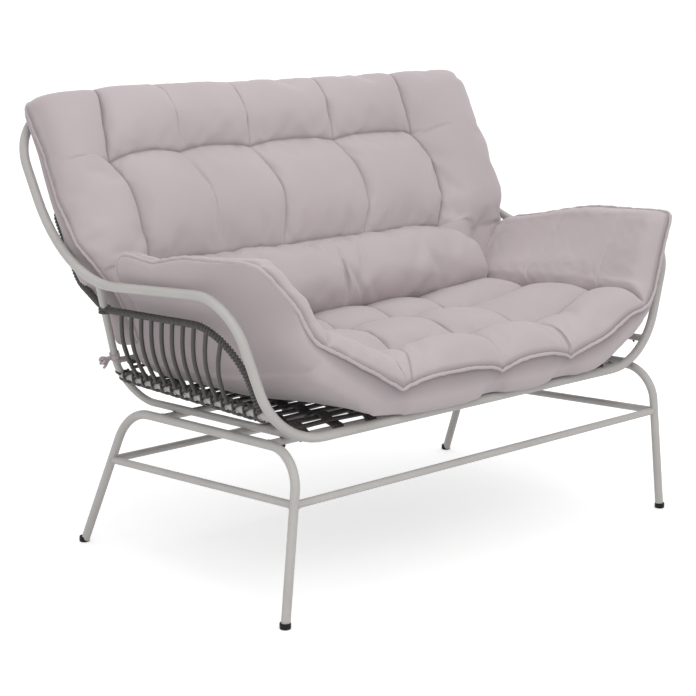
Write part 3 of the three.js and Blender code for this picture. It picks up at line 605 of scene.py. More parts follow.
# %% [markdown]
# With a tube and a weld at hand, the rest of the frame is a list of runs. Each ends on the axis of
# the tube that it meets, as a coped tube does, and a bead goes round it where it comes out.

# %% Runs and what they meet
def heading(route, point):
    """The way a route runs at its station nearest to a point."""
    k = min(range(len(route)), key=lambda k: (route[k] - point).length)
    return route[min(k + 1, len(route) - 1)] - route[max(k - 1, 0)]


def bar(node, ends, radius, mains, main_radii):
    """A straight tube between two others, whose directions and radii are given."""
    a, b = ends
    tube(node, [a, b], radius, [(a, b - a, mains[0], radius, main_radii[0]),
                                (b, a - b, mains[1], radius, main_radii[1])])


# %% Rails, posts and hoops
NAMES = {-1: "left", 1: "right"}
STRETCHER_FRONT_Z, STRETCHER_REAR_Z = 242, 204
HOOP_IN_CAP = 4  # the hoop ends this far above the floor, inside its cap
for side, name in NAMES.items():
    route = post[side]
    tube(name + "_side_rail", route, RAIL,
         [(route[-1], route[-2] - route[-1], heading(loop[side], route[-1]), RAIL, TUBE)])
    ends = seat_rail[side]
    bar(name + "_seat_rail", ends, RAIL, (route[-1] - route[-2], heading(loop[side], ends[1])), (RAIL, TUBE))
    hoop_route = [point.copy() for point in hoop[side]]
    for k, inner in ((0, 1), (-1, -2)):
        lift = (hoop_route[inner] - hoop_route[k]).normalized()
        hoop_route[k] += lift * (HOOP_IN_CAP / lift.z)
    tube(name + "_leg_hoop", hoop_route, LEG)
    ends = (crossing(hoop[side], "z", STRETCHER_FRONT_Z),
            crossing(hoop[side], "z", STRETCHER_REAR_Z, last=True))
    bar(name + "_stretcher", ends, RAIL, [heading(hoop[side], end) for end in ends], (LEG, LEG))

# %% [markdown]
# The rest of the tubes run from side to side, at the same places on both hoops.

# %% Cross tubes and stretchers
bar("rear_seat_rail", rear_rail, REAR, [post[side][-1] - post[side][-2] for side in (-1, 1)], (RAIL, RAIL))
for name, y in (("front", FRONT_CROSS), ("middle", MIDDLE_CROSS), ("rear", REAR_CROSS)):
    ends = [crossing(hoop[side], "y", y) for side in (-1, 1)]
    bar(name + "_cross_tube", ends, RAIL, [Vector((0, 1, 0))] * 2, (LEG, LEG))
for name, z, last in (("front", STRETCHER_FRONT_Z, False), ("rear", STRETCHER_REAR_Z, True)):
    ends = [crossing(hoop[side], "z", z, last) for side in (-1, 1)]
    bar(name + "_stretcher", ends, RAIL, [heading(hoop[1], ends[1])] * 2, (LEG, LEG))

# %% [markdown]
# The foot caps and the bolts are turned parts. Each is a short outline spun round its own axis,
# with small round edges, because a real moulded or turned part never has a knife edge.

# %% Foot caps and bolts
def turned(bm, outline, centre, steps=28):
    """Spins an outline of (radius, height) points round an upright axis through centre."""
    points = [bm.verts.new((centre.x + r, centre.y, centre.z + z)) for r, z in outline]
    edges = [bm.edges.new(pair) for pair in zip(points, points[1:])]
    bmesh.ops.spin(bm, geom=points + edges, cent=centre, axis=(0, 0, 1), angle=2 * math.pi, steps=steps,
                   use_merge=True)


CAP_OUTLINE = [(0.001, 0), (8.6, 0), (10.4, 0.5), (11.3, 1.6), (11.5, 3), (11.5, 10.6), (11.2, 12.2),
               (10.6, 13), (9.9, 13), (9.8, 12), (9.8, 6)]
BOLT_OUTLINE = [(0.001, -5), (3.2, -4.9), (5.2, -4.4), (6.8, -3.2), (7.5, -1.6), (7.5, -0.2), (7.2, 0), (4, 0),
                (4, 20), (3.4, 21.6), (0.001, 21.8)]
for side, name in NAMES.items():
    for end, foot in (("front", HOOP[0]), ("rear", HOOP[3])):
        bm = bmesh.new()
        turned(bm, CAP_OUTLINE, Vector((side * foot[0], foot[1], 0)))
        made_piece(f"{name}_{end}_cap", bm, foot_plastic, [f"{name}_{end}_foot_cap"], sharp=35)
    for end, y in (("front", FRONT_CROSS), ("rear", REAR_CROSS)):
        bm = bmesh.new()
        seat = crossing(hoop[side], "y", y).z - RAIL - 0.3
        turned(bm, BOLT_OUTLINE, Vector((side * SIDE_RAIL_X, y, seat)), steps=20)
        made_piece(f"{name}_{end}_bolt_body", bm, black_steel, [f"{name}_{end}_bolt"], sharp=35)

# %% [markdown]
# The rattan is lashed to bare tubes. First comes the winding: one long strand coiled tightly round
# each bound rail and round the rim behind the back, so close that its turns touch. A coil is a route
# that circles another route, so it is rolled like any other strand.

# %% Coils and smooth routes
pick = random.Random(11)


def coiled(route, reach, pitch, corners=9, hand=1, phase=0.0):
    """A route that winds round another one."""
    stations = evenly(route, pitch / corners)
    made = []
    for k, (across, up) in enumerate(sections(stations)):
        angle = hand * 2 * math.pi * k / corners + phase
        made.append(stations[k] + (across * math.cos(angle) + up * math.sin(angle)) * reach)
    return made


def smooth(points, steps=6):
    """A smooth route through a few points."""
    points = [Vector(point) for point in points]
    run = [points[0] * 2 - points[1], *points, points[-1] * 2 - points[-2]]
    made = []
    for a, b, c, d in zip(run, run[1:], run[2:], run[3:]):
        for i in range(steps):
            t = i / steps
            made.append((b * 2 + (c - a) * t + (a * 2 - b * 5 + c * 4 - d) * t ** 2
                         + (b * 3 - a - c * 3 + d) * t ** 3) * 0.5)
    return made + [points[-1]]


WINDING_PITCH = 7.4
print("turns on a bound rail:", round(run_lengths(bound_rail[1])[-1] / WINDING_PITCH))


# %% [markdown]
# The core lies just under the turns, so that no light shows between two of them. It is darker than
# the turns, as painted shade in the gaps between them.

# %% Winding
def wound(bm, route, winding=3.0, core=5.4):
    """A plain core, darker as painted shade between the turns, with a strand coiled tightly round it."""
    # tone 0 makes the core darker than the turns: painted shade in the gaps between them
    rolled(bm, route, core, sides=10, tone=0.0)
    rolled(bm, coiled(route, core - 0.4, WINDING_PITCH), winding, sides=6, tone=0.5)


for side, name in NAMES.items():
    bm = bmesh.new()
    wound(bm, bound_rail[side])
    made_piece(name + "_bound_rail_winding", bm, rattan, [name + "_bound_rail"], sharp=None)
bm = bmesh.new()
wound(bm, rim)
made_piece("back_rim_winding", bm, rattan, ["back_rim"], sharp=None)

# %% [markdown]
# A side panel has ten strands. Each hooks over the bound rail, bellies outwards and comes down over
# the top of the seat rail. There a twisted pair of strands covers the ends, and a lashing crosses
# the outer face of the rail all along it, like a row of the letter X. The feet stand a little
# further back than the tops, so the strands lean.

# %% Side panels: strands
STRAND, STRANDS, REAR_STRAND_Y, STRANDS_SPAN = 4.6, 10, 160.5, 332
BELLY, LEAN = 16, 58


def hook(centre, along, out, reach, first, last, steps=7):
    """Part of a ring round a rail, from one angle to another. Nought degrees points outwards."""
    along = along.normalized()
    out = (out - along * out.dot(along)).normalized()
    up = out.cross(along)
    up = up if up.z > 0 else -up
    angles = [math.radians(first + (last - first) * k / (steps - 1)) for k in range(steps)]
    return [centre + (out * math.cos(angle) + up * math.sin(angle)) * reach for angle in angles]


def side_strands(bm, side):
    """The upright strands, from the bound rail down and over the seat rail."""
    out = Vector((side, 0, 0))
    for k in range(STRANDS):
        y = REAR_STRAND_Y - STRANDS_SPAN * k / (STRANDS - 1)
        top = crossing(bound_rail[side], "y", y)
        foot = crossing(seat_rail[side], "y", y + LEAN)
        bellied = [top.lerp(foot, t) + out * (BELLY * math.sin(math.pi * t) + 2 * (1 - t))
                   for t in (0, 0.12, 0.3, 0.5, 0.72, 0.88)]
        end = [foot + Vector((side * across, -ahead, up)) for across, ahead, up in
               ((RAIL + 1, 4, RAIL + 1), (0, 8, RAIL + 5), (-RAIL - 2, 12, 3))]
        rolled(bm, smooth(bellied + end, 4), STRAND, sides=8, tone=pick.uniform(0.25, 1))


# %% [markdown]
# A lashing is half a turn of thin strand that leans along the rail while it goes round it. Two of
# them, leaning opposite ways, make one X. The second is lifted in the middle, to pass over the first.

# %% Side panels: lashings
LASH_PITCH, LASH_STEPS = 36.9, 10


def side_lashings(bm, side):
    """Crossed lashings on the seat rail, with a twisted pair inside and a straight run below it."""
    rear, front = seat_rail[side]
    for k in range(round((rear.y - front.y - 50) / LASH_PITCH)):
        y = rear.y - 26 - LASH_PITCH * k
        for hand in (1, -1):
            lash = []
            for step in range(LASH_STEPS + 1):
                angle = math.radians(-95 + 21 * step)
                spot = crossing(seat_rail[side], "y", y + hand * (17.5 - 3.5 * step))
                reach = RAIL + 2.4 + (hand < 0) * 3.4 * math.sin(math.pi * step / LASH_STEPS)
                lash.append(spot + Vector((side * math.cos(angle), 0, math.sin(angle))) * reach)
            rolled(bm, lash, 2.5, sides=7, tone=pick.uniform(0.1, 0.6))
    band = [rear.lerp(front, share) + Vector((-side * 5, 0, RAIL + 2)) for share in (0.02, 0.88)]
    for phase in (0, math.pi):
        rolled(bm, coiled(band, 2.8, LASH_PITCH, 10, phase=phase), 3.1, sides=7, tone=0.2 + phase / 9)
    under = [rear.lerp(front, share) + Vector((side * 3, 0, -RAIL - 2)) for share in (0.03, 0.9)]
    rolled(bm, coiled(under, 1.2, LASH_PITCH, 8), 2.6, sides=7, tone=0.2)


# %% [markdown]
# Where rails and posts meet, a few separate turns bind them. Each is a closed ring square to the
# post, slightly bigger than the tube.

# %% Side panels: bindings
def binding(bm, side, centre, along, reach, radius, tone):
    """One closed turn of strand round a post."""
    ring = hook(centre, along, Vector((side, 0, 0)), reach, 0, 360, 17)
    ring[-1] = ring[0].copy()
    rolled(bm, ring, radius, sides=7, tone=tone, closed=True)


def side_bindings(bm, side):
    """Two turns where the seat rail meets the post, and three where the bound rail does."""
    for rise in (-7, 7):
        spot = crossing(post[side], "z", seat_rail[side][0].z + rise, last=True)
        binding(bm, side, spot, Vector((0, -0.4, 1)), RAIL + 1.8, 2.6, 0.2)
    knot = crossing(post[side], "z", bound_rail[side][0].z, last=True)
    for rise in (-6, 0, 6):
        binding(bm, side, knot + Vector((0, 0, rise)), Vector((0, 0, 1)), RAIL + 2.4, 3.1, 0.4 + rise / 30)


for side, name in NAMES.items():
    bm = bmesh.new()
    side_strands(bm, side)
    side_lashings(bm, side)
    side_bindings(bm, side)
    made_piece(name + "_side_strands", bm, rattan, [name + "_side_weave"], sharp=None)

# %% [markdown]
# The seat panel is an open basket weave. Its rows are pairs of strands and its columns are sets of
# four, and they pass over and under each other, so the openings are long slots. It lies flat on the
# cross tubes and rises to the rails round it. The height of a strand is the height of that surface
# plus half a wave, with the two directions in opposite step. The thick rows stay nearly straight,
# and the thin columns take most of the wave.

# %% Seat panel: the surface that it follows
CROSS_TOP = crossing(hoop[1], "y", FRONT_CROSS).z + RAIL
WEAVE_REAR = rear_rail[0].y - REAR - 0.3
THICK, THIN, PAIR = 3.8, 3.2, 4.0
ROW_WAVE, COLUMN_WAVE = 0.8, 6.2
WEAVE_TOP = COLUMN_WAVE + THIN


def weave_half(y):
    """Half the width between the seat rails."""
    return crossing(seat_rail[1], "y", y).x - RAIL - 0.3


def weave_z(x, y):
    """Flat in the middle, and rising to the seat rails and to the rear rail."""
    half = weave_half(min(y, WEAVE_REAR))
    across = max(0, abs(x) - (half - 120)) / 120
    along = max(0, y - (WEAVE_REAR - 110)) / 110
    base = CROSS_TOP + WEAVE_TOP + 0.2
    return base + max(45 * across ** 2, (REAR_RAIL_Z - base) * along ** 2)


COLUMNS = round(2 * weave_half(0) / 92) + 1
ROWS = round((WEAVE_REAR - FRONT_CROSS) / 39) + 1
ROW_Y = [FRONT_CROSS + 9 + (WEAVE_REAR - FRONT_CROSS - 18) * j / (ROWS - 1) for j in range(ROWS)]
print("seat panel:", ROWS, "rows and", COLUMNS - 2, "columns")

# %% [markdown]
# The rows go in first, from side to side. A row's wave changes its hand from row to row, so that it
# dips wherever a column rises.

# %% Seat panel: rows
ROW_STEPS = 6  # stations from one column to the next
bm = bmesh.new()
for j, row in enumerate(ROW_Y):
    for offset in (-PAIR, PAIR):
        y = row + offset
        half = weave_half(y) - 1
        pitch = 2 * half / (COLUMNS - 1)
        route = []
        for k in range(ROW_STEPS * (COLUMNS - 1) + 1):
            x = -half + pitch * k / ROW_STEPS
            step = math.cos(math.pi * k / ROW_STEPS) * (-1) ** j * ROW_WAVE
            route.append(Vector((x, y, weave_z(x, y) + step)))
        rolled(bm, route, THICK, sides=7, tone=pick.uniform(0.2, 0.9))

# %% [markdown]
# The columns run from front to rear. Each strand starts with a hook round the front cross tube and
# ends in a turn round the rear rail, so no end shows.

# %% Seat panel: columns
COLUMN_STEPS, COLUMN_INSET = 4, 9
for i in range(1, COLUMNS - 1):
    share = -1 + 2 * i / (COLUMNS - 1)
    for offset in (-11.1, -3.7, 3.7, 11.1):
        route = []
        for j in range(ROWS - 1):
            for k in range(COLUMN_STEPS):
                y = ROW_Y[j] + (ROW_Y[j + 1] - ROW_Y[j]) * k / COLUMN_STEPS
                x = share * (weave_half(y) - COLUMN_INSET) + offset
                step = -math.cos(math.pi * (j + k / COLUMN_STEPS)) * (-1) ** i * COLUMN_WAVE
                route.append(Vector((x, y, weave_z(x, y) + step)))
        front = Vector((route[0].x, FRONT_CROSS, CROSS_TOP - RAIL))
        round_front = hook(front, Vector((1, 0, 0)), Vector((0, -1, 0)), RAIL + THIN, -30, 55, 4)
        rear = Vector((share * (weave_half(WEAVE_REAR) - COLUMN_INSET) + offset, rear_rail[0].y, REAR_RAIL_Z))
        round_rear = hook(rear, Vector((1, 0, 0)), Vector((0, 1, 0)), REAR + THIN, 125, -150, 9)
        rolled(bm, smooth(round_front + route[1:] + round_rear, 2), THIN, sides=6,
               tone=pick.uniform(0.2, 0.9))
made_piece("seat_panel", bm, rattan, ["seat_weave"], sharp=None)

# %% [markdown]
# The back panel has twenty-four upright strands. They hook over the wound rim, lean forwards down
# to the rear rail and hook under it, and one twisted band halfway down keeps them apart.

# %% Back panel
BACK_STRANDS, LOW_HALF, HIGH_HALF, RIM_WOUND = 24, rear_rail[1].x - 16, 570, 8
bm = bmesh.new()
low, high = Vector((0, rear_rail[0].y, REAR_RAIL_Z)), Vector((0, *RIM[1][1:3]))
rise = (high - low).normalized()
rear_out = Vector((0, rise.z, -rise.y))
for k in range(BACK_STRANDS):
    share = -1 + 2 * (k + 0.5) / BACK_STRANDS
    foot, top = low + Vector((share * LOW_HALF, 0, 0)), high + Vector((share * HIGH_HALF, 0, 0))
    under = hook(foot, Vector((1, 0, 0)), Vector((0, 1, 0)), REAR + STRAND, -150, 20, 6)
    over = hook(top, Vector((1, 0, 0)), Vector((0, 1, 0)), RIM_WOUND + STRAND, -20, 150, 6)
    middle = [foot.lerp(top, t) + rear_out * ((-1) ** k * 4.5 * math.exp(-((t - 0.5) / 0.06) ** 2) + 6)
              for t in (0.12, 0.3, 0.42, 0.5, 0.58, 0.75, 0.9)]
    rolled(bm, smooth(under + middle + over, 3), STRAND, sides=8, tone=pick.uniform(0.2, 1))
half = (LOW_HALF + HIGH_HALF) / 2
band = [low.lerp(high, 0.5) + rear_out * 6 + Vector((x, 0, 0)) for x in (-half - 18, half + 18)]
for phase in (0, math.pi):
    rolled(bm, coiled(band, 4.2, 47.5, 12, phase=phase), 3.4, sides=7, tone=0.5)
made_piece("back_panel", bm, rattan, ["back_weave"], sharp=None)

# %% [markdown]
# A cushion is two sheets of cloth sewn together round the rim, where the piping sits, and filled
# until they part. So each cushion starts from one surface that carries the rim, and the two sheets
# stand off it: the face by its quilted thickness, the back by the depth of its border. Both are
# plain grids whose points are moved, which also gives a UV map that is the flat cloth in metres.
# A grid line follows each seam, so a seam stays crisp, and the lines crowd together beside it. Two
# numbers are kept at each point: how firmly it is held, and how deep it lies in a seam's crease, which sets
# the shade painted there.

# %% Soft curves
def ease(low, high, value):
    """A smooth step from 0 at low to 1 at high."""
    share = min(max((value - low) / (high - low), 0), 1)
    return share * share * (3 - 2 * share)


def between(stops, value):
    """A value read off a line through (place, value) stops."""
    for (a, low), (b, high) in zip(stops, stops[1:]):
        if value <= b:
            return low + (high - low) * max(0, (value - a) / (b - a))
    return stops[-1][1]


def turn_over(distance, width):
    """Rises from 0 at the rim to 1 in a quarter circle."""
    left = 1 - min(max(distance / width, 0), 1)
    return math.sqrt(1 - left * left)


def puff(place, marks, square, power):
    """0 on a seam, 1 in the middle between two. A squarer puff has a flatter top and a tighter seam."""
    for a, b in zip(marks, marks[1:]):
        if place <= b:
            off = abs(2 * min(max((place - a) / (b - a), 0), 1) - 1)
            return (1 - off ** square) ** power
    return 0


print("a puff 20 mm from a seam, 200 mm wide, stands at", round(puff(20, [0, 200], 2.0, 0.55), 2))


# %% [markdown]
# A seam is only as sharp as the grid beside it. So the grid lines crowd towards every seam and
# spread out over the puffs. A corner is rounded by changing the distances to its two edges.

# %% Grid lines and round corners
def spaced(marks, pitch, crowd=0.75):
    """Grid lines through every mark, and closer together beside it."""
    places = [marks[0]]
    for a, b in zip(marks, marks[1:]):
        count = max(3, round((b - a) / pitch))
        for k in range(1, count + 1):
            even, near = k / count, (1 - math.cos(math.pi * k / count)) / 2
            places.append(a + (b - a) * ((1 - crowd) * even + crowd * near))
    return places


def rounded_corner(to_side, to_end, radius):
    """Distances from a square corner become distances from a round one."""
    a, b = radius - to_side, radius - to_end
    if a <= 0 or b <= 0:
        return to_side, to_end
    share = max(a, b) / math.hypot(a, b)
    return radius - a * share, radius - b * share


# %% [markdown]
# The pillow itself takes a surface and two thicknesses as functions. It lays one grid for the face
# and one for the back, moves each point off the surface along its normal, and gives back the rim.

# %% Pillow
def pillow(bm, us, vs, surface, above, below, steer=None, hold=None, crease=None):
    """Two sheets on one rim, and the rim's route. above and below get (u, v, point on the surface)."""
    wander, wander_size, rear_sheet = 2.6, 62, 700
    points = [[surface(u, v) for v in vs] for u in us]
    last_u, last_v = len(us) - 1, len(vs) - 1
    place = bm.loops.layers.uv.verify()
    # A new layer moves the ones before it, so both are made before either is looked up.
    bm.verts.layers.float.new("held")
    bm.verts.layers.float.new("crease_painted_shade")
    held, crease_shade_layer = bm.verts.layers.float["held"], bm.verts.layers.float["crease_painted_shade"]
    for lift, sign in ((above, 1), (below, -1)):
        sheet = bmesh.ops.create_grid(bm, x_segments=last_u, y_segments=last_v, size=1)["verts"]
        spots = {vert: (round((vert.co.x + 1) / 2 * last_u), round((vert.co.y + 1) / 2 * last_v))
                 for vert in sheet}
        for face in {face for vert in sheet for face in vert.link_faces}:
            for corner in face.loops:
                i, j = spots[corner.vert]
                corner[place].uv = (us[i] * MILLIMETRE, (vs[j] + (rear_sheet if sign < 0 else 0)) * MILLIMETRE)
        for vert, (i, j) in spots.items():
            along = points[min(i + 1, last_u)][j] - points[max(i - 1, 0)][j]
            up = points[i][min(j + 1, last_v)] - points[i][max(j - 1, 0)]
            normal = along.cross(up).normalized()
            on_rim = i in (0, last_u) or j in (0, last_v)
            normal = steer(us[i], normal, sign) if steer else normal
            height = 0 if on_rim else lift(us[i], vs[j], points[i][j])
            if sign > 0:
                height += (wander * noise.noise(Vector((us[i], vs[j], 40)) / wander_size)
                           * min(1, height / 20))
            vert.co = points[i][j] + normal * (sign * height)
            vert[held] = 1 if on_rim or sign < 0 else hold(us[i], vs[j]) if hold else 0
            # The rim gets full painted shade beside the piping, and the face gets painted shade along its
            # seams
            vert[crease_shade_layer] = 1 if on_rim else crease(us[i], vs[j]) if crease and sign > 0 else 0
    ring = ([points[i][0] for i in range(last_u)] + [points[last_u][j] for j in range(last_v)]
            + [points[i][last_v] for i in range(last_u, 0, -1)] + [points[0][j] for j in range(last_v, 0, -1)])
    return ring + [ring[0]]


# %% [markdown]
# Piping hides the seam round a cushion. It is the rim's own route, wandering by a millimetre or so,
# because a hand-fed sewing machine never sews it quite straight. Blender's noise vectors start from
# the clock unless they are given a seed, so the seed comes first and every run sews the same piping.

# %% Piping
noise.seed_set(11)


def piping(name, ring, radius=3.8, wander=1.4, uneven=0.9):
    """A cord in a sleeve of cloth round a cushion's rim, not quite straight and not quite even."""
    bm = bmesh.new()
    cord = evenly(ring, 6)
    for k, spot in enumerate(cord):
        cord[k] = spot + noise.noise_vector(spot / 14) * wander
    cord[-1] = cord[0].copy()
    thick = [radius + uneven * noise.noise(spot / 9) for spot in cord]
    rolled(bm, cord, thick, sides=10, closed=True)
    made_piece(name, bm, piping_cloth, [], sharp=None)


# %% [markdown]
# Two numbers describe the sewing at a point of the cloth: how near it is to a seam, which darkens it
# with painted shade, and how firmly it is held there while the cushion is filled.

# %% Seams and tufts
NO_SEAM = [9999]  # stands for a direction without seams: too far away to count


def seam_crease(u, v, u_marks, v_marks, firm=1.0, width=5.0):
    """1 on a seam and 0 beside it. A seam along v counts only as far as it is firm."""
    to_u, to_v = min(abs(u - mark) for mark in u_marks), min(abs(v - mark) for mark in v_marks)
    return max(firm * math.exp(-(to_u / width) ** 2), math.exp(-(to_v / width) ** 2))


def tuft_hold(u, v, u_marks, v_marks, reach=16, firm=1.0):
    """How firmly the cloth is held: fully at a tuft, partly along a seam."""
    to_u, to_v = min(abs(u - mark) for mark in u_marks), min(abs(v - mark) for mark in v_marks)
    on_seam = seam_crease(u, v, u_marks, v_marks, firm)
    return min(1, 0.45 * on_seam + math.exp(-(math.hypot(to_u, to_v) / reach) ** 2))


# %% [markdown]
# Filling presses a cushion's cloth out, and the seams hold it back. The cloth solver works this out:
# the rim, the backs and the tufts are held, the cloth gets a little slack and pressure from inside,
# and gravity is off, because the filling carries the weight. A few frames are enough. No point may
# travel further than a cushion could give. The result is kept as plain mesh, then subdivided once.

# %% Cloth helper
def swollen(piece, slack=0.03, pressure=4.0, most=0.026, frames=20):
    """Fills a cushion. slack is a share of its cloth, and most is the longest way in metres."""
    mesh = piece.data
    start = [vert.co.copy() for vert in mesh.vertices]
    group = piece.vertex_groups.new(name="held")
    for index, value in enumerate(mesh.attributes["held"].data):
        group.add([index], value.value, "REPLACE")
    cloth = piece.modifiers.new("Cloth", "CLOTH")
    settings = cloth.settings
    settings.quality, settings.mass = 6, 0.25
    settings.tension_stiffness = settings.compression_stiffness = 12
    settings.shear_stiffness, settings.bending_stiffness = 6, 0.25
    settings.vertex_group_mass = group.name
    settings.use_pressure, settings.uniform_pressure_force = True, pressure
    settings.shrink_min = -slack
    settings.effector_weights.gravity = 0
    cloth.collision_settings.use_collision = False
    cloth.point_cache.frame_start, cloth.point_cache.frame_end = 1, frames
    for frame_number in range(1, frames + 1):
        bpy.context.scene.frame_set(frame_number)
    done = piece.evaluated_get(bpy.context.evaluated_depsgraph_get())
    moved = [vert.co.copy() for vert in done.data.vertices]
    piece.modifiers.remove(cloth)
    piece.vertex_groups.remove(group)
    bpy.context.scene.frame_set(1)
    furthest = 0
    for vert, old, new in zip(mesh.vertices, start, moved):
        step = new - old
        furthest = max(furthest, step.length)
        vert.co = old + step * (min(step.length, most) / step.length if step.length > 1e-9 else 1)
    mesh.update()
    print(piece.name, "swelled by up to", round(furthest * 1000, 1), "mm")
    finer = piece.modifiers.new("Finer", "SUBSURF")
    finer.levels = finer.render_levels = 1


# %% [markdown]
# The seat and the two arms are one quilt, hung in the frame like a bowl. Seen from the front its
# rim runs level over the seat, climbs at the corners and stands up along the arms. The face wraps
# over the top of each arm, so the piping there lies on the outer edge.

# %% Seat quilt: its profiles
# Half sections from the middle out, as (x, z): at the front edge, halfway back and at the rear edge.
FRONT = {-1: [(0, 442), (-150, 445), (-290, 450), (-376, 485), (-438, 519), (-494, 551), (-516, 583),
              (-537, 622), (-571, 659), (-604, 694), (-618, 708), (-630, 716)],
         1: [(0, 442), (150, 441), (240, 438), (333, 446), (400, 474), (440, 491), (498, 499), (536, 528),
             (556, 573), (574, 628), (597, 678), (612, 694), (626, 699)]}
MIDDLE = {side: [(0, 440), (side * 300, 440), (side * 400, 450), (side * 460, 468), (side * 510, 500),
                 (side * 560, 552), (side * 604, 606), (side * 628, 652), (side * 637, 682), (side * 640, top)]
          for side, top in ((-1, 706), (1, 690))}
REAR_END = {-1: [(0, 440), (-300, 440), (-400, 447), (-460, 462), (-500, 485), (-548, 536), (-590, 588),
                 (-618, 630), (-630, 656), (-634, 682)],
            1: [(0, 440), (300, 440), (400, 447), (460, 462), (500, 482), (545, 530), (584, 576), (608, 606),
                (622, 624), (630, 640)]}
# The flat quilt is 2 * HALF wide and DEPTH deep. Beyond CREASE, as a share of HALF, it is the arm.
HALF, DEPTH, CREASE = 800, 560, 0.67
SEAT_FRONT, SEAT_REAR, ARM_REAR = -325, 276, {-1: 152, 1: 240}


def even_profile(points, count=120):
    """A profile as a smooth route with evenly spaced points."""
    route = smooth([Vector((x, 0, z)) for x, z in points], 5)
    return evenly(route, run_lengths(route)[-1] / count)


profiles = {side: [even_profile(line[side]) for line in (FRONT, MIDDLE, REAR_END)] for side in (-1, 1)}


def on_profile(profile, share):
    """The point at a share of the profile's length."""
    place = min(max(share, 0), 1) * (len(profile) - 1)
    k = min(int(place), len(profile) - 2)
    return profile[k].lerp(profile[k + 1], place - k)


print("rim along the front edge:", {side: round(run_lengths(profiles[side][0])[-1]) for side in (-1, 1)}, "mm")

# %% [markdown]
# The quilt's seams don't run straight: three of them lean across the seat. Each is given as a line
# of places, and the flat cloth is shifted sideways until its grid lines lie on them. Where they reach
# the front, they pull the piping down in a small notch.

# %% Seat quilt: its surface
# Each seam line gives u for places from front to rear.
SEAM_LINES = [[(-325, -275), (-185, -185), (30, -125), (208, -140)],
              [(-325, 17), (-185, 30), (30, 55), (208, 60)],
              [(-325, 236), (-185, 236), (30, 245), (208, 240)]]
U_SEAMS = [-HALF, -CREASE * HALF, -185, 30, 240, CREASE * HALF, HALF]
V_SEAMS = [0, 130, 331, 515, DEPTH]
ARM_WAVE = [(-220, 0), (-90, 1), (14, -11), (100, 4), (152, 4)]


def quilt_surface(u, v):
    """The place of a point of the flat cloth on the hung quilt."""
    y = SEAT_FRONT + (SEAT_REAR - SEAT_FRONT) * v / DEPTH
    lines = [U_SEAMS[0], U_SEAMS[1], *(between(line, y) for line in SEAM_LINES), U_SEAMS[5], U_SEAMS[6]]
    u = between(list(zip(U_SEAMS, lines)), u)
    side = -1 if u < 0 else 1
    to_side = HALF - abs(u)
    to_end = min(v, DEPTH - v)
    to_side, end = rounded_corner(to_side, to_end, 48)
    v = end if v < DEPTH / 2 else DEPTH - end
    share, t = 1 - to_side / HALF, v / DEPTH
    front, middle, rear = (on_profile(profile, share) for profile in profiles[side])
    point = front.lerp(middle, ease(0, 0.5, t)).lerp(rear, ease(0.4, 1, t))
    first = between([(0.62, SEAT_FRONT), (0.76, -304), (1, -296)], share)
    last = between([(0.6, SEAT_REAR), (0.66, 268), (0.73, ARM_REAR[side] + (92 if side < 0 else 46)),
                    (0.81, ARM_REAR[side] + 14), (1, ARM_REAR[side])], share)
    point.y = first + (last - first) * t
    point.z -= 16 * ease(140, 230, point.y) * (1 - ease(0.55, 0.66, share))
    if side < 0:
        point.z += between(ARM_WAVE, point.y) * ease(0.86, 1, share)
    for line in SEAM_LINES:
        away = abs(point.x - line[0][1])
        pull = (0.55 * math.exp(-away / 15) + 0.45 * math.exp(-(away / 60) ** 2)) * math.exp(-v / 38)
        point.z -= 22 * pull
        point.y += 8 * pull
    return point


# %% [markdown]
# The thickness is worked out the same way: puffs between the seams, arms that stay full to their top,
# and edges that turn over in a quarter circle. Short pleats run in from the front piping.

# %% Seat quilt: its thickness
# Each pleat: its place u, its width, its depth and its slant.
PLEATS = [(-160, 6, 13, -0.2), (-128, 6, 11, -0.5), (-372, 7, 8, 0.3), (52, 7, 8, 0.3), (262, 7, 7, 0.4),
          (212, 6, 6, -0.4), (-452, 8, 8, 0.5)]


def quilt_above(u, v, point):
    share = abs(u) / HALF
    across, along = puff(u, U_SEAMS[1:-1], 2.0, 0.55), puff(v, [-16, *V_SEAMS[1:]], 2.0, 0.55)
    padded = 30 * across * along + 13 * (across * (1 - along) + along * (1 - across))
    padded -= sum(depth * math.exp(-((u - x - slant * v) / width) ** 2) * math.exp(-((v - 26) / 26) ** 2)
                  for x, width, depth, slant in PLEATS)
    edge_of_seat = turn_over(CREASE * HALF - abs(u), 46)
    seat = 7 + 6 * along + (9 + padded) * edge_of_seat
    seat *= turn_over(point.y - SEAT_FRONT, 62) * turn_over(DEPTH - v, 30)
    seat += (12 - seat) * ease(190, 240, point.y)
    ends = turn_over(v, 42) * turn_over(DEPTH - v, 26)
    along_arm = math.sin(math.pi * min(max(v / DEPTH, 0), 1))
    arm = 47 + 10 * along_arm * math.sin(math.pi * ease(0.66, 1, share))
    arm = (arm - 8) * turn_over(abs(u) - CREASE * HALF, 34) + 6 + 3 * along
    return (arm * ends if share > CREASE else seat) * turn_over(HALF - abs(u), 17)


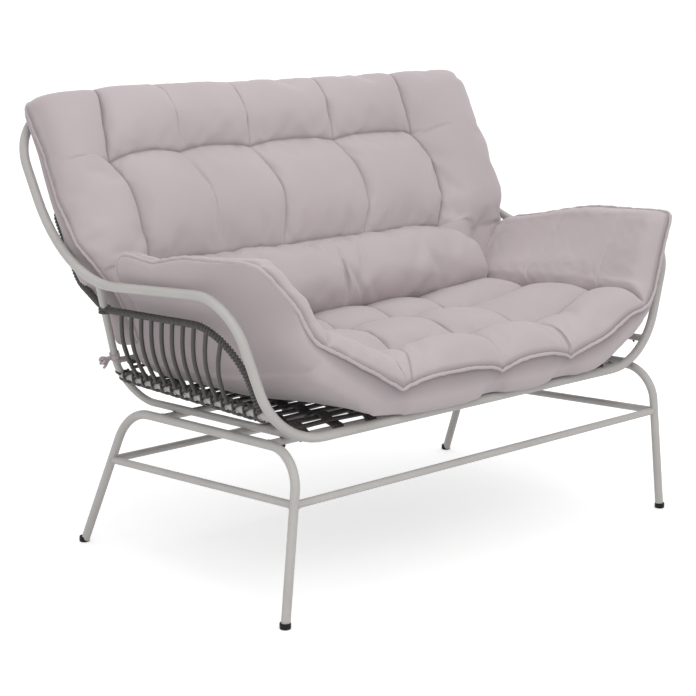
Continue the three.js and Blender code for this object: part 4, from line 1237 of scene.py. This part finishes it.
def quilt_below(u, v, point):
    """Over the seat the underside lies on the rattan. Under the arms it is the depth of the border."""
    share = abs(u) / HALF
    depth = between([(0.5, 76), (0.62, 76), (0.7, 56), (0.78, 30), (0.88, 14), (1, 13)], share)
    if share < 0.66:
        under = weave_z(point.x, point.y) + WEAVE_TOP if point.y > -222 else LOOP[0][2] + TUBE
        depth = min(depth + 6, point.z - under - 0.6)
    depth -= min(15 * ease(230, 400, abs(point.x)), max(depth - 8, 0))
    pucker = 3.2 * noise.noise(Vector((u / 16, v / 60, 3))) * (1 - ease(60, 110, v))
    front = between([(0.5, 20), (0.62, 34), (0.74, 60), (1, 24)], share)
    return (depth + pucker) * turn_over(v, front) * turn_over(DEPTH - v, 16) * turn_over(HALF - abs(u), 12)


def quilt_steer(u, normal, sign):
    """On the arms the pad is thick sideways, so that its top stays level."""
    level = Vector((-1 if u > 0 else 1, 0, 0.1)).normalized()
    return normal.lerp(level, 0.92 * ease(0.7, 0.86, abs(u) / HALF)).normalized()


# %% [markdown]
# Now the quilt is laid out, sewn and filled. The arms are held half everywhere: they are firm pads
# without tufts. The piping is made from the rim that the pillow gives back.

# %% Seat quilt: sewn and filled
def quilt_hold(u, v):
    """The seat is held at its tufts, and the arms half held all over."""
    if abs(u) > CREASE * HALF + 6:
        return 0.5
    return tuft_hold(u, v, U_SEAMS[1:-1], [0, *V_SEAMS[1:4]], firm=0.45)


def quilt_crease(u, v):
    """Painted shade in the seams between the seat's puffs; the arms have none."""
    inside = 1 - ease(CREASE * HALF - 30, CREASE * HALF + 6, abs(u))
    return 0.8 * inside * seam_crease(u, v, U_SEAMS[2:-2], V_SEAMS[1:4], width=2.4)


bm = bmesh.new()
ring = pillow(bm, spaced(U_SEAMS, 11), spaced(V_SEAMS, 11), quilt_surface, quilt_above, quilt_below,
              quilt_steer, quilt_hold, quilt_crease)
swollen(made_piece("seat_quilt", bm, cushion_cloth, ["seat_cushion", "left_arm_pad", "right_arm_pad"],
                   sharp=None))
piping("seat_piping", ring)

# %% [markdown]
# The back cushion leans on the frame. It has six columns and three rows, tufted where they cross,
# and its outer columns run down in one piece. Between two tufts the row seam arches upwards, as the
# puffs below press on it. The rim lies near the rear face at the top and comes forward towards the
# seat, and the top corners are round.

# %% Back cushion: its seams
# The flat cushion is 2 * BACK_HALF wide and LENGTH high. REAR_LINE gives the rear face's y for a
# height, OFFSET how far the rim lies in front of it, and the last two lists how deep each column's
# seam is sewn above and below the upper row of tufts.
REAR_LINE = [(446, 258), (478, 270), (600, 318), (750, 398), (905, 478), (965, 512)]
BACK_HALF, LENGTH, BACK_FOOT, BACK_TOP = 620, 584, 446, 965
OFFSET = [(446, 80), (564, 84), (653, 66), (750, 48), (842, 42), (905, 33), (965, 30)]
RISE = Vector((0, 251, 487)).normalized()
FACING = Vector((0, -RISE.z, RISE.y))
COLUMNS_X = [-BACK_HALF, -500, -315, -120, 130, 385, BACK_HALF]
BACK_ROWS = [0, 168, 410, LENGTH]
UPPER_SEAMS = [0, 1.0, 0.1, 0.4, 0.6, 0.9, 0]
LOWER_SEAMS = [0, 0.8, 0.0, 0.4, 0.5, 1.0, 0]


def back_half(z):
    """Half the cushion's width at a height."""
    return between([(478, 560), (556, 588), (600, 610), (660, 634), (760, 636), (860, 630)], z)


def back_z(v):
    return BACK_FOOT + (BACK_TOP - BACK_FOOT) * v / LENGTH


def back_seams(v):
    """Where the column seams lie: they bow outwards between the two rows of tufts."""
    bow = math.sin(math.pi * min(max((v - BACK_ROWS[1]) / (BACK_ROWS[2] - BACK_ROWS[1]), 0), 1))
    below = 1 - ease(60, 176, v)
    lean = 24 * ease(BACK_ROWS[2], LENGTH, v)
    return [x if k in (0, 6) else x + 28 * bow + 20 * below + (lean if k == 1 else 0)
            for k, x in enumerate(COLUMNS_X)]


def seam_depth(u, v):
    """How deep the nearest column seam is, 0 to 1. Some are sewn tight, some hardly show."""
    upper, lower = (between(list(zip(COLUMNS_X, line)), u) for line in (UPPER_SEAMS, LOWER_SEAMS))
    return lower + (upper - lower) * ease(BACK_ROWS[2] - 40, BACK_ROWS[2] + 40, v)


print("column seams halfway up:", [round(x) for x in back_seams(LENGTH / 2)])

# %% [markdown]
# The surface carries it all: the arches move the row seams, the bows move the column seams, and the
# corners are rounded before the flat cloth is laid against the leaning frame.

# %% Back cushion: its surface
def back_surface(u, v):
    """The place of a point of the flat cushion on the leaning one."""
    arch = 0
    for a, b in zip(COLUMNS_X[1:-1], COLUMNS_X[2:-1]):
        if a < u < b:
            arch = 10 * math.sin(math.pi * (u - a) / (b - a)) ** 0.7
    arch -= 9 * math.exp(-((u + 500) / 60) ** 2)
    v = between([(0, 0), (BACK_ROWS[1], BACK_ROWS[1] + arch * 0.3), (BACK_ROWS[2], BACK_ROWS[2] + arch),
                 (LENGTH, LENGTH)], v)
    x = between(list(zip(COLUMNS_X, back_seams(v))), u)
    radius = 18 if v < LENGTH / 2 else 20 if u < 0 else 66
    side, end = rounded_corner(BACK_HALF - abs(x), min(v, LENGTH - v), radius)
    v = LENGTH - end if v > LENGTH / 2 else end
    z = back_z(v)
    x = math.copysign(BACK_HALF - side, x) * back_half(z) / BACK_HALF
    rear = Vector((x, between(REAR_LINE, z), z)) + FACING * between(OFFSET, z)
    rear.z -= 9 * ease(0.75, 1, v / LENGTH) * ease(380, 600, -x)
    return rear


# %% [markdown]
# The face is thickest between the tufts and thins out to the sides. The lower right part is kept
# thin, as the arm presses into it. The rear face fills the space in front of the strands.

# %% Back cushion: its thickness
def back_above(u, v, point):
    across, along = puff(u, COLUMNS_X, 2.6, 0.5), puff(v, BACK_ROWS, 2.6, 0.5)
    across += (1 - across) * (1 - seam_depth(u, v)) * 0.85
    outer = ease(385, 425, u) + ease(500, 540, -u)
    along += (1 - along) * outer * ease(20, 100, v) * (1 - ease(520, LENGTH, v))
    padded = 34 * across * along + 9 * (across * (1 - along) + along * (1 - across))
    thick = 82 + padded - 58 * ease(440, 550, u) * (1 - ease(90, 230, v))
    edges = turn_over(BACK_HALF - abs(u), 52) * turn_over(LENGTH - v, 34) * turn_over(v, 30)
    return max(thick - between(OFFSET, back_z(v)), 4) * edges


def back_below(u, v, point):
    """The rear face hangs straighter than the front, and fills the space in front of the strands."""
    z = back_z(v)
    offset = between(OFFSET, z) + between([(446, 16), (478, 28), (600, 20), (700, 0), (750, 0)], z)
    return offset * turn_over(BACK_HALF - abs(u), 14) * turn_over(LENGTH - v, 16) * turn_over(v, 16)


def back_steer(u, normal, sign):
    """The sides of the face swell outwards over the frame."""
    out = 0.36 * ease(530, BACK_HALF, abs(u)) if sign > 0 else 0
    return (normal + Vector((math.copysign(out, u), 0, 0))).normalized()


# %% [markdown]
# Its tufts hold the cloth at the crossings of the two rows with the column seams, each as firmly as
# that seam is sewn. The lowest part stays as drawn, because the roll lies on it.

# %% Back cushion: sewn and filled
def back_hold(u, v):
    """The lowest part is held, where the roll lies. The outer columns are free."""
    if v < 140:
        return 1
    if u < -506 or u > 391:
        return 0
    return tuft_hold(u, v, COLUMNS_X[1:-1], BACK_ROWS[1:3], firm=seam_depth(u, v))


def back_crease(u, v):
    """Painted shade along the seams. The row seams end at the outer columns."""
    inside = ease(-512, -496, u) * (1 - ease(381, 397, u))
    row = seam_crease(u, v, NO_SEAM, BACK_ROWS[1:3], width=2.4) * inside
    return max(row, seam_crease(u, v, COLUMNS_X[1:-1], NO_SEAM, seam_depth(u, v), width=2.4))


bm = bmesh.new()
ring = pillow(bm, spaced(COLUMNS_X, 9.5), spaced(BACK_ROWS, 9.5), back_surface, back_above, back_below,
              back_steer, back_hold, back_crease)
swollen(made_piece("back_pad", bm, cushion_cloth, ["back_cushion"], sharp=None))
piping("back_piping", ring)

# %% [markdown]
# The lumbar roll is the lowest row of the back, filled more than the rest. It is fullest low down,
# where it rests on the seat, and thins out upwards. Its right end is round and it has soft folds.

# %% Lumbar roll
ROLL_HALF, ROLL_HIGH = 488, 178
ROLL_FOOT, ROLL_TOP = Vector((0, 178, 470)), Vector((0, 258, 644))
# Each fold is a short valley: its place along and up the roll, width, depth and slant.
FOLDS = [(-245, 60, 20, 10, 0.3), (-8, 62, 9, 15, 0.15), (26, 48, 8, 13, -0.5), (52, 78, 14, 9, 0.5),
         (236, 96, 18, 11, 0.6), (284, 60, 12, 11, -0.3), (352, 104, 22, 8, 0.4)]


def roll_surface(u, v):
    low = v < ROLL_HIGH / 2
    radius = 40 if low else 88 if u > 0 else 70
    side, end = rounded_corner(ROLL_HALF - abs(u), min(v, ROLL_HIGH - v), radius)
    v = end if low else ROLL_HIGH - end
    point = ROLL_FOOT.lerp(ROLL_TOP, v / ROLL_HIGH)
    droop = 6 * math.exp(-((u + 20) / 150) ** 2) + 26 * ease(280, ROLL_HALF, u)
    point.z -= droop * (v / ROLL_HIGH) ** 2
    point.x = math.copysign(ROLL_HALF - side, u)
    return point


def roll_above(u, v, point):
    """Full low down, thin at the top, round at the ends, and less a few folds."""
    swell = 73 - sum(depth * math.exp(-((point.x - x - slant * (v - height)) / width) ** 2
                                      - ((v - height) / 36) ** 2)
                     for x, height, width, depth, slant in FOLDS)
    swell = swell * turn_over(v, 52) * turn_over(ROLL_HIGH - v, 150) ** 1.2
    return max(swell * turn_over(ROLL_HALF - abs(u), 80), 0)


def roll_below(u, v, point):
    """The rear is almost flat, against the back cushion."""
    return 2.0


bm = bmesh.new()
pillow(bm, spaced([-ROLL_HALF, 0, ROLL_HALF], 9.5), spaced([0, ROLL_HIGH], 9), roll_surface, roll_above,
       roll_below)
swollen(made_piece("lumbar_bolster", bm, cushion_cloth, ["lumbar_roll"], sharp=None),
        most=0.012)

# %% [markdown]
# Each rear corner of the cushions is tied to its post. A flat strap goes round the post, and its two
# ends are tied in a small bow on the outside. The strap is a rectangle spun about the post; the loops
# and tails are soft cord, rolled along short routes, and the knot is a small ball pressed a little flat.

# %% Cushion ties
TIE_Z = 441
STRAP = [(0.4, -7.5), (2.8, -7.5), (3.2, 0), (2.8, 7.5), (0.4, 7.5)]  # (off the post, along it)
# Stations of a loop and of a tail, as (outwards, forwards, along the post) from the knot.
BOW = [(0, 0, 0), (7, 4, 4), (14, 7, 6), (18, 6, 2), (12, 4, -2), (3, 1, -1)]
TAIL = [(0, 0, 0), (6, 3, -4), (13, 6, -8), (20, 8, -9)]
for side, name in NAMES.items():
    bm = bmesh.new()
    below, middle, above = (crossing(post[side], "z", TIE_Z + rise, last=True) for rise in (-9, 0, 9))
    axis = (above - below).normalized()
    out = Vector((side, 0, 0))
    out = (out - axis * out.dot(axis)).normalized()
    ahead = axis.cross(out)
    verts = [bm.verts.new(middle + out * (RAIL + reach) + axis * rise) for reach, rise in STRAP]
    edges = [bm.edges.new((a, b)) for a, b in zip(verts, verts[1:] + verts[:1])]
    bmesh.ops.spin(bm, geom=verts + edges, cent=middle, axis=axis, angle=2 * math.pi, steps=28, use_merge=True)
    knot = middle + out * (RAIL + 7)
    for turn in (-1, 1):
        for stations, radius in ((BOW, 3.2), (TAIL, 3.0)):
            cord = [knot + ahead * (turn * f) + out * r + axis * a for r, f, a in stations]
            rolled(bm, smooth(cord, 4), radius, sides=8, tone=0.5)
    knob = bmesh.ops.create_icosphere(bm, subdivisions=2, radius=5.2)["verts"]
    bmesh.ops.scale(bm, vec=(0.9, 1.0, 1.15), verts=knob)
    bmesh.ops.translate(bm, vec=knot, verts=knob)
    made_piece(name + "_tie", bm, piping_cloth, [name + "_cushion_tie"], sharp=None)
